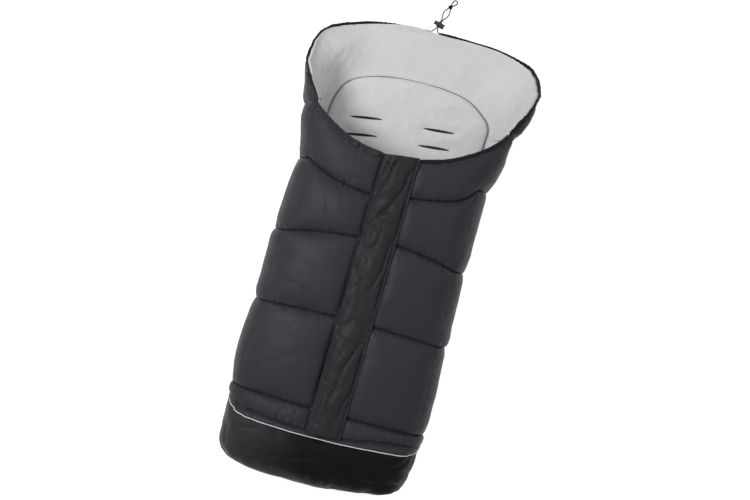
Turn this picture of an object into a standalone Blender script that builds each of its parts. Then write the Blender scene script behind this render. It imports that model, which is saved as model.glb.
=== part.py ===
"""Stroller footmuff: a quilted sleeping sack lying on its back, open at the hood.

Metres, +Z up. The sack rests on z = 0 with its front face up, +Y points to the head end and
+X to the wearer's left-hand side as seen from above. The origin is on the back face.
"""

from math import atan2, cos, hypot, pi, radians, sin

import bmesh
import bpy
from mathutils import Matrix, Vector

# Clearances
seam_gap = 0.0003
running_gap = 0.0004
overrun = 0.004
slope_step = 0.0005

# Sack outline
body_half_width = 0.1985
back_half_width = 0.168
side_seam_inset = 0.018
side_bulge = 0.011
foot_end_y = -0.508
foot_seam_y = -0.398
lip_y = 0.173
hood_start_y = 0.260
lip_height = 0.166
foot_height = 0.142
side_seam_drop = 0.033
side_seam_run = 0.036
front_shoulder = 0.090
calf_y = -0.262

# Hood
hood_half_width = 0.2435
hood_rise = 0.004
hood_top_y = 0.456
hood_top_height = 0.004
arch_top_y = 0.346
arch_corner = 2.4
rim_corner = 3.4

# Padding
back_fabric = 0.003
back_padding = 0.012
back_crown = 0.004
back_pad_draw = 0.045
shell_wall = 0.009
shell_rim_wall = 0.0045
lining_wall = 0.0055
lining_rim_wall = 0.0035
rim_taper_share = 0.78
front_edge_wall = 0.0056

# Quilting: each seam is given at the zip and at the side seam
quilt_rise = 0.0075
gusset_rise = 0.004
quilt_flat = 0.010
chest_seam_y = 0.092
chest_seam_side_y = 0.148
upper_seam_y = 0.006
upper_seam_side_y = -0.020
middle_seam_y = -0.160
lower_seam_y = -0.348

# Foot
foot_rounding = 0.062
foot_corner = 2.9
foot_swell = 0.004
piping_y = -0.414
piping_radius = 0.0011
piping_sweep = 0.016
piping_reach_share = 0.93

# Harness slots
slot_length = 0.062
slot_width = 0.005
shoulder_slot_x = 0.076
upper_slot_y = 0.256
lower_slot_y = 0.219
waist_slot_x = 0.100
waist_slot_y = 0.015
crotch_slot_y = -0.085

# Zip
zip_groove_half_width = 0.0145
tape_depth = 0.0067
tape_wall = 0.0010
tape_pocket = 0.0020
tape_half_width = 0.0255
tape_bead_x = 0.0036
tooth_pitch = 0.006
tooth_length = 0.0025
tooth_tip_x = 0.0009
tooth_root_x = 0.0020
tooth_wall = 0.0026
zip_end_margin = 0.0015
stop_length = 0.003
bottom_stop_length = 0.007
slider_length = 0.014
slider_half_width = 0.0062
slider_plate = 0.0011
slider_post_width = 0.0010
slider_post_length = 0.005
stop_ease = 0.0002
bridge_length = 0.009
bridge_wall = 0.0009
bridge_half_width = 0.0016
bridge_height = 0.0031
pull_length = 0.026
pull_half_width = 0.0042
pull_wall = 0.0011
pull_eye = 0.0022

# Placket over the zip
placket_left_x = 0.033
placket_right_x = 0.036
placket_edge_wall = 0.0030
placket_swell = 0.0040
placket_arch = 0.0040
patch_length = 0.045
patch_half_width = 0.0075
patch_wall = 0.0011
patch_inset = 0.0115
patch_count = 3
patch_end_share = 0.12

# Drawstring and its casing
casing_radius = 0.0042
casing_bore = 0.0021
cord_radius = 0.0012
cord_spacing = 0.0027
cord_exit_gap = 0.008
cord_exit_x = -0.006
cord_point_step = 0.007
knot_distance = 0.062
knot_radius = 0.0034
loop_length = 0.021
loop_half_width = 0.0034

# Cord lock
lock_distance = 0.018
lock_radius = 0.0054
lock_wall = 0.0012
lock_floor = 0.0012
lock_clearance = 0.0004
plunger_head_radius = 0.0044
plunger_head = 0.0032
plunger_press = 0.0025
spring_wire = 0.0003
spring_turns = 4
spring_room = 0.0057

# Mesh densities
hood_columns = 26
strip_rows = 6
ring_sides = 8
round_sides = 16


def finish(name, colour, roughness, metallic=0.0):
    """A Principled material in the given colour."""
    material = bpy.data.materials.new(name)
    material.use_nodes = True
    shader = material.node_tree.nodes["Principled BSDF"]
    shader.inputs["Base Color"].default_value = (*colour, 1.0)
    shader.inputs["Roughness"].default_value = roughness
    shader.inputs["Metallic"].default_value = metallic
    return material


def mix(a, b, share):
    return a + (b - a) * share


def ease(share):
    """A smooth step from 0 to 1."""
    share = min(max(share, 0.0), 1.0)
    return share * share * (3.0 - 2.0 * share)


def bezier(p0, p1, p2, p3, t):
    s = 1.0 - t
    return p0 * s ** 3 + p1 * 3 * s * s * t + p2 * 3 * s * t * t + p3 * t ** 3


def place(name, mesh, material, parent=None):
    """Make the mesh a named object with its faces pointing out."""
    for polygon in mesh.polygons:
        polygon.use_smooth = True
    mesh.set_sharp_from_angle(angle=radians(40))
    piece = bpy.data.objects.new(name, mesh)
    piece.data.materials.append(material)
    bpy.context.collection.objects.link(piece)
    piece.parent = parent
    return piece


def solid(name, build, material, parent=None):
    """Run build(bm) on a new bmesh, turn its faces out and make it an object."""
    bm = bmesh.new()
    build(bm)
    bmesh.ops.recalc_face_normals(bm, faces=bm.faces)
    mesh = bpy.data.meshes.new(name)
    bm.to_mesh(mesh)
    bm.free()
    return place(name, mesh, material, parent)


# The sack's outer surface

def top_height(y):
    """Height of the front along its centre line, a straight slope from lip to foot."""
    return lip_height + (y - lip_y) * (lip_height - foot_height) / (lip_y - foot_seam_y)


width_stations = (foot_seam_y, lower_seam_y, calf_y, middle_seam_y, upper_seam_y,
                  chest_seam_side_y, hood_start_y)
width_shares = (0.955, 0.985, 1.0, 0.980, 0.962, 0.953, 1.045)


def half_width(y):
    """Half the sack's width at y, eased between the seams that draw it in."""
    if y <= width_stations[0]:
        return body_half_width * width_shares[0]
    for k in range(len(width_stations) - 1):
        low, high = width_stations[k], width_stations[k + 1]
        if y <= high:
            share = ease((y - low) / (high - low))
            return body_half_width * mix(width_shares[k], width_shares[k + 1], share)
    return body_half_width * width_shares[-1]


def rails(y):
    """The side wall's four Bezier rails at y: back seam, two guides and side seam."""
    wide = half_width(y)
    seam_z = top_height(y) - side_seam_drop
    return (Vector((back_half_width, y, 0)),
            Vector((wide + side_bulge, y, 0)),
            Vector((wide + side_bulge, y, seam_z - side_seam_drop)),
            Vector((wide - side_seam_inset, y, seam_z)))


def section(y, w):
    """Point of the sack's section at y.

    w runs from the back's centre (0) over the back seam (1) and the side seam (2) to the
    front's centre (3), and from there down the other side to 6.
    """
    if w > 3:
        p = section(y, 6 - w)
        return Vector((-p.x, p.y, p.z))
    r0, r1, r2, r3 = rails(y)
    if w < 1:
        return Vector((r0.x * w, y, 0))
    if w < 2:
        return bezier(r0, r1, r2, r3, w - 1)
    tangent = (r3 - r2).normalized() * side_seam_run
    top = top_height(y)
    return bezier(r3, r3 + tangent, Vector((front_shoulder, y, top)), Vector((0, y, top)), w - 2)


def share_at(y, x):
    """The w between side seam and centre at which the front's section has this x."""
    low, high = 2.0, 3.0
    for _ in range(30):
        middle = (low + high) / 2
        if section(y, middle).x > x:
            low = middle
        else:
            high = middle
    return low


# How far each of the hood's four rails, from back seam to rim, takes part in its spread,
# its height at the head end and its rise at the sides
flare_shares = (0, 0, 0.65, 1)
rail_height_shares = (0, 0, 0.2, 1)
rise_shares = (0, 0, 0, 1)


def hood_rail(angle, k):
    """Rail k of the hood at this angle round the head end, 0 at the right, pi at the left."""
    c, s = cos(angle), sin(angle)
    start = rails(hood_start_y)[k]
    share = k / 3
    corner = mix(arch_corner, rim_corner, share)
    reach = (abs(c) ** corner + abs(s) ** corner) ** (-1 / corner)
    wide = mix(start.x, hood_half_width, flare_shares[k])
    rim_y = mix(arch_top_y, hood_top_y, share)
    high = hood_top_height * rail_height_shares[k]
    lift = hood_rise * rise_shares[k] * ease(s / 0.3) * (1 - ease((s - 0.3) / 0.5))
    x = c * reach * mix(start.x, wide, ease(s / 0.45))
    y = hood_start_y + s * reach * (rim_y - hood_start_y)
    return Vector((x, y, mix(start.z, high, ease((s - 0.18) / 0.74)) + lift))


def strip(q, v):
    """The side strip's surface: along the right side, round the hood, down the left side.

    q below 0 is the right side, in metres below the hood; 0 to pi is the hood; past pi the
    left side. v runs from the back seam (0) to the side seam or rim (1).
    """
    if q < 0:
        return section(hood_start_y + q, 1 + v)
    if q > pi:
        return section(hood_start_y - (q - pi), 5 - v)
    return bezier(*(hood_rail(q, k) for k in range(4)), v)


def foot(t, w):
    """The foot cap's surface: t below 0 is straight, in metres; 0 to pi/2 rounds the end."""
    straight_y = foot_end_y + foot_rounding
    if t <= 0:
        return section(straight_y - t, w)
    reach = (abs(cos(t)) ** foot_corner + abs(sin(t)) ** foot_corner) ** (-1 / foot_corner)
    p = section(straight_y, w)
    middle = top_height(straight_y) / 2
    share = cos(t) * reach
    return Vector((p.x * share, straight_y - foot_rounding * sin(t) * reach,
                   middle + (p.z - middle) * share))


def outward(surface, a, b, inside):
    """Unit normal of surface(a, b) by central differences, away from the point inside."""
    across = surface(a + slope_step, b) - surface(a - slope_step, b)
    along = surface(a, b + slope_step) - surface(a, b - slope_step)
    normal = across.cross(along).normalized()
    return normal if normal.dot(surface(a, b) - inside) > 0 else -normal


def sack_axis(p):
    """The point of the sack's axis level with p."""
    return Vector((0, min(p.y, hood_start_y), lip_height / 2))


def offset_point(surface, a, b, depth):
    """The surface's point moved inwards by depth."""
    p = surface(a, b)
    return p - outward(surface, a, b, sack_axis(p)) * depth


# Solids from that surface

def slab(name, surface, places, outer, inner, material):
    """A closed slab between two depths under a surface, over a grid of (a, b) places."""
    def build(bm):
        skins = []
        for depth in (outer, inner):
            skins.append([[bm.verts.new(offset_point(surface, a, b, depth(i, j)))
                           for j, (a, b) in enumerate(row)] for i, row in enumerate(places)])
        rows, columns = len(places), len(places[0])
        for skin in skins:
            for i in range(rows - 1):
                for j in range(columns - 1):
                    bm.faces.new((skin[i][j], skin[i + 1][j], skin[i + 1][j + 1],
                                  skin[i][j + 1]))
        border = [(i, 0) for i in range(rows)]
        border += [(rows - 1, j) for j in range(1, columns)]
        border += [(i, columns - 1) for i in range(rows - 2, -1, -1)]
        border += [(0, j) for j in range(columns - 2, 0, -1)]
        for k, (i, j) in enumerate(border):
            m, n = border[(k + 1) % len(border)]
            bm.faces.new((skins[0][i][j], skins[0][m][n], skins[1][m][n], skins[1][i][j]))
    return solid(name, build, material)


def spread(first, last, count):
    return [mix(first, last, i / (count - 1)) for i in range(count)]


quilt_lines = ((foot_seam_y, foot_seam_y), (lower_seam_y, lower_seam_y),
               (middle_seam_y, middle_seam_y), (upper_seam_side_y, upper_seam_y),
               (chest_seam_side_y, chest_seam_y), (hood_start_y, lip_y))
quilt_rows = (3, 5, 5, 4, 3)
puff_shares = (0.55, 1.0, 1.0, 0.9, 0.75)


def quilt_line(k, share):
    """y of quilting seam k at a share of the way from the side seam to the zip."""
    side, centre = quilt_lines[k]
    bend = (1 - share) ** 2
    return mix(centre, side, bend)


def quilt_grid(share):
    """(y, puff) down the quilted cells at one share of the way from side seam to zip."""
    out = []
    for k, count in enumerate(quilt_rows):
        low, high = quilt_line(k, share), quilt_line(k + 1, share)
        for i in range(count + (k == len(quilt_rows) - 1)):
            f = 0.5 - 0.5 * cos(pi * i / count)
            out.append((mix(low, high, f), puff_shares[k] * (4 * f * (1 - f)) ** 0.7))
    return out


# Columns of a front panel, as shares of the side seam's x, then the lines beside the zip
front_column_shares = (1.0, 0.96, 0.88, 0.75, 0.60, 0.45, 0.32)


def front_places(side):
    """Grid of (y, w) over one front panel, and the puff of each place."""
    seam_x = body_half_width - side_seam_inset
    beside = (tape_half_width + 2 * overrun, tape_half_width + overrun / 2,
              zip_groove_half_width)
    shares = [*front_column_shares, *(x / seam_x for x in beside)]
    columns = [quilt_grid(1 - share) for share in shares]
    first = 2 + seam_gap / side_seam_run / 3
    places, puffs = [], []
    for i in range(len(columns[0])):
        row, lift = [], []
        for k, column in enumerate(columns):
            y, puff = column[i]
            y = y + seam_gap / 2 if i == 0 else y
            fixed = k >= len(front_column_shares)
            x = beside[k - len(front_column_shares)] if fixed else shares[k] * rails(y)[3].x
            w = first if k == 0 else share_at(y, x)
            clear = x - max(placket_left_x, placket_right_x) - running_gap
            fade = ease((1 - shares[k]) / 0.25) * ease(clear / quilt_flat / 3)
            row.append((y, w if side > 0 else 6 - w))
            lift.append(quilt_rise * puff * fade)
        places.append(row)
        puffs.append(lift)
    return places, puffs


def near_zip(place):
    """1 where the zip tape lies between shell and lining, fading to 0 beyond it."""
    x = abs(section(*place).x)
    return 1 - ease((x - tape_half_width - overrun) / overrun)


def make_front(side, label, shell, fleece):
    places, puffs = front_places(side)
    last = len(places) - 1

    def lip_share(i, j):
        """0 over the panel, rising to 1 at the lip where shell and lining thin out."""
        x = abs(section(*places[i][j]).x)
        return ease((i - last + 3) / 3) * ease((x - tape_half_width) / front_shoulder)

    def shell_inner(i, j):
        full = mix(shell_wall, shell_rim_wall, lip_share(i, j))
        return mix(full, front_edge_wall, near_zip(places[i][j]))

    def lining_outer(i, j):
        return shell_inner(i, j) + mix(seam_gap, tape_pocket + seam_gap, near_zip(places[i][j]))

    def lining_inner(i, j):
        return lining_outer(i, j) + mix(lining_wall, lining_rim_wall, lip_share(i, j))

    slab(f"front_{label}_panel", section, places, lambda i, j: -puffs[i][j], shell_inner,
         shell)
    slab(f"front_{label}_lining", section, places, lining_outer, lining_inner, fleece)


def make_gusset(side, label, shell, fleece):
    """Side strip from the foot seam to the hood, with its lining."""
    shares = spread(0, 1, strip_rows)
    column = quilt_grid(0.0)
    places, puffs = [], []
    for i, (y, puff) in enumerate(column):
        y = y + seam_gap / 2 if i == 0 else y
        y = y - seam_gap / 2 if i == len(column) - 1 else y
        edge = seam_gap / lip_height
        places.append([(y, 1 + v * (1 - edge) + edge / 2) if side > 0 else
                       (y, 5 - v * (1 - edge) - edge / 2) for v in shares])
        puffs.append([gusset_rise * puff * ease(v / 0.5) * ease((1 - v) / 0.3) for v in shares])
    slab(f"side_{label}_shell", section, places, lambda i, j: -puffs[i][j],
         lambda i, j: shell_wall, shell)
    slab(f"side_{label}_lining", section, places, lambda i, j: shell_wall + seam_gap,
         lambda i, j: shell_wall + seam_gap + lining_wall, fleece)


def rim_share(v):
    return ease((v - rim_taper_share) / (1 - rim_taper_share))


def hood_wall(v):
    return mix(shell_wall, shell_rim_wall, rim_share(v))


def hood_depth(v):
    """Depth of the lining's inner face under the hood's outer surface."""
    return hood_wall(v) + seam_gap + mix(lining_wall, lining_rim_wall, rim_share(v))


def make_hood(shell, fleece):
    """The flared collar round the head end, outer shell and fleece lining."""
    edge = seam_gap / lip_height
    shares = [mix(edge / 2, 1, v) for v in spread(0, 1, strip_rows + 1)]
    turn = seam_gap / 2 / (hood_top_y - hood_start_y)
    angles = spread(turn, pi - turn, hood_columns + 1)
    places = [[(q, v) for v in shares] for q in angles]
    slab("hood_shell", strip, places, lambda i, j: 0, lambda i, j: hood_wall(shares[j]), shell)
    slab("hood_lining", strip, places, lambda i, j: hood_wall(shares[j]) + seam_gap,
         lambda i, j: hood_depth(shares[j]), fleece)


# Back

def back_outline(inset):
    """The back's outline, the arch between the back seams, drawn in by an inset."""
    right = []
    low = foot_seam_y + seam_gap / 2 + inset
    for y, _ in quilt_grid(0.0)[:-1]:
        y = low + (y - foot_seam_y) * (hood_start_y - low) / (hood_start_y - foot_seam_y)
        right.append((rails(y)[0].x - seam_gap - inset, y))
    wide = rails(hood_start_y)[0].x - seam_gap - inset
    deep = arch_top_y - hood_start_y - seam_gap - inset
    arc = []
    for angle in spread(0, pi, hood_columns + 1):
        c, s = cos(angle), sin(angle)
        reach = (abs(c) ** arch_corner + abs(s) ** arch_corner) ** (-1 / arch_corner)
        arc.append((wide * c * reach, hood_start_y + deep * s * reach))
    left = [(-x, y) for x, y in reversed(right)]
    return right + arc + left


def stack(rings):
    """A builder of the closed solid through a stack of equal rings, flat at both ends."""
    def build(bm):
        loops = [[bm.verts.new(p) for p in ring] for ring in rings]
        count = len(loops[0])
        for low, high in zip(loops, loops[1:]):
            for k in range(count):
                m = (k + 1) % count
                bm.faces.new((low[k], low[m], high[m], high[k]))
        bm.faces.new(loops[0][::-1])
        bm.faces.new(loops[-1])
    return build


def slot_outline(x, y):
    """A slot with round ends, lying across the back."""
    out = []
    for end, first in ((1, -pi / 2), (-1, pi / 2)):
        for k in range(5):
            angle = first + pi * k / 4
            out.append((x + end * (slot_length - slot_width) / 2 + slot_width / 2 * cos(angle),
                        y + slot_width / 2 * sin(angle)))
    return out


def slot_places():
    return [(shoulder_slot_x, upper_slot_y), (-shoulder_slot_x, upper_slot_y),
            (shoulder_slot_x, lower_slot_y), (-shoulder_slot_x, lower_slot_y),
            (waist_slot_x, waist_slot_y), (-waist_slot_x, waist_slot_y), (0, crotch_slot_y)]


def make_back(shell, fleece):
    """The flat back and the padded insert on it, with the harness slots through both."""
    top = back_fabric + seam_gap + back_padding + back_crown

    def cutters(bm):
        for x, y in slot_places():
            outline = slot_outline(x, y)
            stack([[(a, b, -overrun) for a, b in outline],
                   [(a, b, top + overrun) for a, b in outline]])(bm)

    cutter = solid("slot_cutter", cutters, shell)
    cutter.hide_render = True
    cutter.display_type = "WIRE"
    back = solid("back_shell", stack([[(x, y, z) for x, y in back_outline(0)]
                                      for z in (0, back_fabric)]), shell)
    base = back_fabric + seam_gap
    rings = []
    for inset_share, height_share in ((0.06, 0), (0, 0.3), (0, 0.55), (0.08, 0.86), (0.25, 1)):
        inset = back_pad_draw * inset_share
        rings.append([(x, y, base + back_padding * height_share) for x, y in
                      back_outline(inset)])
    rings.append([(x, y, base + back_padding + back_crown) for x, y in
                  back_outline(back_pad_draw)])
    pad = solid("back_pad", stack(rings), fleece)
    for piece in (back, pad):
        cut = piece.modifiers.new("slots", "BOOLEAN")
        cut.operation = "DIFFERENCE"
        cut.solver = "EXACT"
        cut.object = cutter


# Foot

def cup(name, outer, inner, first, material):
    """A closed cup over the foot's surface between two depths, open towards the sack."""
    turns = [0, 0.5, 0.88]
    turns += [1 + k / 5 for k in range(6)]
    turns += [2 + k / 5 for k in range(1, 6)]
    loop = turns[:-1] + [6 - w for w in reversed(turns)][:-1]
    steps = [first, first / 2, 0] + [pi / 2 * k / 6 for k in range(1, 6)]

    def build(bm):
        skins = []
        for depth in (outer, inner):
            rings = []
            for t in steps:
                ring = []
                for w in loop:
                    p = foot(t, w)
                    inside = Vector((0, max(p.y, foot_end_y + foot_rounding), p.z))
                    inside.z = top_height(foot_seam_y) / 2
                    ring.append(bm.verts.new(p - outward(foot, t, w, inside) * depth(t, w)))
                rings.append(ring)
            pole = bm.verts.new((0, foot_end_y + depth(pi / 2, 3),
                                 top_height(foot_end_y + foot_rounding) / 2))
            skins.append((rings, pole))
        for rings, pole in skins:
            for low, high in zip(rings, rings[1:]):
                for k in range(len(loop)):
                    m = (k + 1) % len(loop)
                    bm.faces.new((low[k], low[m], high[m], high[k]))
            for k in range(len(loop)):
                bm.faces.new((rings[-1][k], rings[-1][(k + 1) % len(loop)], pole))
        for k in range(len(loop)):
            m = (k + 1) % len(loop)
            bm.faces.new((skins[0][0][0][k], skins[0][0][0][m], skins[1][0][0][m],
                          skins[1][0][0][k]))
    return solid(name, build, material)


def foot_puff(t, w):
    """The cap's swell between its seam and its end, on the front only."""
    front = ease((1.2 - abs(w - 3)) / 0.6)
    straight = foot_end_y + foot_rounding - foot_seam_y
    along = 1 - t / straight if t < 0 else 1
    return foot_swell * front * ease(along / 0.6) * (1 - ease(t / (pi / 3)))


def make_foot(shell, fleece, reflector):
    straight = foot_end_y + foot_rounding - foot_seam_y
    first = straight + seam_gap / 2
    cup("foot_cap", lambda t, w: -foot_puff(t, w), lambda t, w: shell_wall, first, shell)
    cup("foot_lining", lambda t, w: shell_wall + seam_gap,
        lambda t, w: shell_wall + seam_gap + lining_wall, first, fleece)
    lift = piping_radius + seam_gap
    points = []
    for share in spread(-1, 1, 33):
        w = 3 - share * piping_reach_share
        y = piping_y + piping_sweep * ease((abs(share) - 0.55) / 0.45)
        t = foot_end_y + foot_rounding - y
        points.append(offset_point(section, y, w, -lift - foot_puff(t, w)))
    tube("reflective_piping", points, piping_radius, 1, reflector)


# Tubes

def tube(name, points, radius, resolution, material, parent=None):
    """A round cord through the points, with closed ends."""
    curve = bpy.data.curves.new(name, "CURVE")
    curve.dimensions = "3D"
    curve.bevel_depth = radius
    curve.bevel_resolution = resolution
    curve.use_fill_caps = True
    curve.twist_mode = "MINIMUM"
    path = curve.splines.new("POLY")
    path.points.add(len(points) - 1)
    for item, p in zip(path.points, points):
        item.co = (*p, 1)
    piece = bpy.data.objects.new(name, curve)
    curve.materials.append(material)
    bpy.context.collection.objects.link(piece)
    piece.parent = parent
    return piece


def walk(points, step):
    """Points at equal steps along a dense path."""
    total = sum((b - a).length for a, b in zip(points, points[1:]))
    count = max(2, round(total / step))
    goals = [total * k / count for k in range(count + 1)]
    out, run = [points[0]], 0.0
    index = 1
    for a, b in zip(points, points[1:]):
        length = (b - a).length
        while index <= count and goals[index] <= run + length + overrun * 1e-6:
            out.append(a + (b - a) * ((goals[index] - run) / length if length else 0))
            index += 1
        run += length
    return out


def spline(knots, per_span=12):
    """A smooth curve through hand-chosen points (centripetal Catmull-Rom)."""
    ends = [knots[0] * 2 - knots[1], *knots, knots[-1] * 2 - knots[-2]]
    out = []
    for k in range(1, len(ends) - 2):
        p0, p1, p2, p3 = ends[k - 1:k + 3]
        t1 = (p1 - p0).length ** 0.5
        t2 = t1 + (p2 - p1).length ** 0.5
        t3 = t2 + (p3 - p2).length ** 0.5
        for i in range(per_span):
            t = mix(t1, t2, i / per_span)
            a1 = p0 * ((t1 - t) / t1) + p1 * (t / t1)
            a2 = p1 * ((t2 - t) / (t2 - t1)) + p2 * ((t - t1) / (t2 - t1))
            a3 = p2 * ((t3 - t) / (t3 - t2)) + p3 * ((t - t2) / (t3 - t2))
            b1 = a1 * ((t2 - t) / t2) + a2 * (t / t2)
            b2 = a2 * ((t3 - t) / (t3 - t1)) + a3 * ((t - t1) / (t3 - t1))
            out.append(b1 * ((t2 - t) / (t2 - t1)) + b2 * ((t - t1) / (t2 - t1)))
    return out + [knots[-1]]


# Drawstring

def casing_centre(q):
    """Centre line of the rim's casing, just beyond the rim's edge."""
    edge = offset_point(strip, q, 1, hood_depth(1) / 2)
    before = offset_point(strip, q, 1 - 0.02, hood_depth(1) / 2)
    p = edge + (edge - before).normalized() * (casing_radius + seam_gap)
    return Vector((p.x, p.y, max(p.z, casing_radius)))


lock_turn = radians(17)
lock_forward = Vector((sin(lock_turn), cos(lock_turn), 0))
lock_across = Vector((cos(lock_turn), -sin(lock_turn), 0))


def exit_point():
    """Middle between the two ends of the casing, at the top of the rim."""
    p = casing_centre(pi / 2)
    return Vector((cord_exit_x, p.y, p.z))


def cord_level():
    """Height of the free cord, which lies on the ground with its lock."""
    return lock_radius


def casing_angles(side):
    """Angles from the casing's far end to its exit at the rim's top."""
    middle = exit_point()
    edge = (middle.x + side * cord_exit_gap / 2) / hood_half_width
    last = pi / 2 - edge
    first = 0.03 if side > 0 else pi - 0.03
    return spread(first, last, 45)


def make_casing(side, label, shell):
    """The fabric tube round the rim that the cord runs in, open at both ends."""
    points = walk([casing_centre(q) for q in casing_angles(side)], casing_radius * 3.3)

    def build(bm):
        skins = []
        for radius in (casing_radius, casing_bore):
            rings = []
            for k, p in enumerate(points):
                along = points[min(k + 1, len(points) - 1)] - points[max(k - 1, 0)]
                along.normalize()
                up = (Vector((0, 0, 1)) - along * along.z).normalized()
                out = along.cross(up)
                rings.append([bm.verts.new(p + (up * cos(a) + out * sin(a)) * radius) for a in
                              (2 * pi * n / ring_sides for n in range(ring_sides))])
            skins.append(rings)
        for rings in skins:
            for low, high in zip(rings, rings[1:]):
                for k in range(ring_sides):
                    m = (k + 1) % ring_sides
                    bm.faces.new((low[k], low[m], high[m], high[k]))
        for end in (0, -1):
            for k in range(ring_sides):
                m = (k + 1) % ring_sides
                bm.faces.new((skins[0][end][k], skins[0][end][m], skins[1][end][m],
                              skins[1][end][k]))
    return solid(f"rim_casing_{label}", build, shell)


def lock_centre():
    start = exit_point()
    return Vector((start.x, start.y, cord_level())) + lock_forward * lock_distance


def strand_side(side):
    """Sideways place of one strand where both run through the lock."""
    return lock_across * (side * cord_spacing / 2)


def make_string(side, label, black):
    """One half of the drawstring: through the casing, out at the top and into the lock."""
    inside = walk([casing_centre(q) for q in casing_angles(side)], cord_point_step)
    start = exit_point()
    centre = lock_centre()
    leave = (inside[-1] - inside[-2]).normalized()
    turn = start + strand_side(side) + lock_forward * cord_exit_gap * 0.35
    turn.z = mix(start.z, centre.z, 0.35)
    last = centre + strand_side(side) - lock_forward * (seam_gap / 2)
    port = last - lock_forward * (lock_radius + cord_radius)
    bend = spline([inside[-1], inside[-1] + leave * cord_exit_gap * 0.12, turn, port,
                   mix(port, last, 0.5), last])
    tube(f"drawstring_{label}", inside[1:-1] + walk(bend, cord_radius), cord_radius, 2, black)


knot_shares = (1.15, 1.0, 0.9)


def make_tail(black):
    """Both strands from the lock to the knot, the knot, and the loop beyond it, as one solid."""
    centre = lock_centre()
    knot = centre + lock_forward * (knot_distance - lock_distance)
    strands = []
    for side in (1, -1):
        first = centre + strand_side(side) + lock_forward * (seam_gap / 2)
        near = knot + strand_side(side) * 0.7 - lock_forward * knot_radius * 0.5
        strands.append(walk(spline([first, mix(first, near, 0.5), near]), cord_point_step))
    bow = []
    for k in range(17):
        angle = pi * k / 16
        along = knot_radius * 0.4 + (loop_length + knot_radius * 0.6) * sin(angle) ** 0.8
        bow.append(knot + lock_forward * along + lock_across * (loop_half_width * cos(angle)))
    pieces = [tube(f"strand_{n}_guide", s, cord_radius, 2, black) for n, s in enumerate(strands)]
    pieces.append(tube("loop_guide", bow, cord_radius, 2, black))

    def knot_body(bm):
        bmesh.ops.create_icosphere(bm, subdivisions=2, radius=knot_radius,
                                   matrix=Matrix.Translation(knot) @
                                   Matrix.Rotation(-lock_turn, 4, "Z") @
                                   Matrix.Diagonal((*knot_shares, 1)))

    tail = solid("drawstring_tail", knot_body, black)
    for piece in pieces:
        piece.hide_render = True
        piece.display_type = "WIRE"
        depsgraph = bpy.context.evaluated_depsgraph_get()
        mesh = bpy.data.meshes.new_from_object(piece.evaluated_get(depsgraph))
        guide = bpy.data.objects.new(piece.name + "_mesh", mesh)
        bpy.context.collection.objects.link(guide)
        guide.hide_render = True
        guide.display_type = "WIRE"
        join = tail.modifiers.new(piece.name, "BOOLEAN")
        join.operation = "UNION"
        join.solver = "EXACT"
        join.object = guide
        bpy.data.objects.remove(piece)


# Cord lock

def turned(profile, sides):
    """A builder of the solid turned about X from (x, radius) points, closed on the axis."""
    def build(bm):
        rings = []
        for x, radius in profile:
            if radius == 0:
                rings.append([bm.verts.new((x, 0, 0))])
            else:
                rings.append([bm.verts.new((x, radius * cos(2 * pi * k / sides),
                                            radius * sin(2 * pi * k / sides)))
                              for k in range(sides)])
        for low, high in zip(rings, rings[1:]):
            for k in range(sides):
                m = (k + 1) % sides
                if len(low) == 1:
                    bm.faces.new((low[0], high[m], high[k]))
                elif len(high) == 1:
                    bm.faces.new((low[k], low[m], high[0]))
                else:
                    bm.faces.new((low[k], low[m], high[m], high[k]))
    return build


def make_lock(black, steel):
    """Barrel with a spring plunger across the two strands of the cord."""
    hub = bpy.data.objects.new("cord_lock", None)
    bpy.context.collection.objects.link(hub)
    hub.location = lock_centre()
    hub.rotation_euler = (0, 0, -lock_turn)
    bore = lock_radius - lock_wall
    core = bore - lock_clearance
    edge = lock_wall / 2
    port_half = cord_spacing / 2 + cord_radius + lock_clearance
    port_deep = 2 * (cord_radius + lock_clearance)
    mouth = -port_half - plunger_press
    nose = port_half + lock_wall
    floor = nose + spring_room
    end = floor + lock_floor

    def port(name, first, last):
        """A straight hole for the two strands, across the barrel."""
        def build(bm):
            bmesh.ops.create_cube(bm, size=1, matrix=Matrix.Translation(
                ((first + last) / 2, 0, 0)) @ Matrix.Diagonal(
                (last - first, 2 * (lock_radius + overrun), port_deep, 1)))
        cutter = solid(name, build, black, hub)
        cutter.hide_render = True
        cutter.display_type = "WIRE"
        return cutter

    def cut(piece, cutter):
        modifier = piece.modifiers.new("port", "BOOLEAN")
        modifier.operation = "DIFFERENCE"
        modifier.solver = "EXACT"
        modifier.object = cutter

    barrel = [(end, 0), (end, lock_radius - edge), (end - edge, lock_radius),
              (mouth + edge, lock_radius), (mouth, lock_radius - edge), (mouth, bore),
              (floor, bore), (floor, 0)]
    body = solid("cord_lock_body", turned(barrel, round_sides), black, hub)
    cut(body, port("body_port_cutter", -port_half, port_half))

    head = mouth - plunger_press - seam_gap
    plunger = [(nose, 0), (nose, core - edge), (nose - edge, core), (head, core),
               (head, plunger_head_radius), (head - plunger_head + edge, plunger_head_radius),
               (head - plunger_head, plunger_head_radius - edge), (head - plunger_head, 0)]
    ram = solid("cord_lock_plunger", turned(plunger, round_sides), black, hub)
    cut(ram, port("plunger_port_cutter", mouth, port_half))

    first = nose + seam_gap + spring_wire
    last = floor - seam_gap - spring_wire
    coil_radius = core - lock_wall
    coil = []
    steps = 8
    for k in range(spring_turns * steps + 1):
        angle = 2 * pi * k / steps
        coil.append(Vector((mix(first, last, k / (spring_turns * steps)),
                            coil_radius * cos(angle), coil_radius * sin(angle))))
    tube("cord_lock_spring", coil, spring_wire, 1, steel, hub)


# Zip, in its own straight frame

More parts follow.
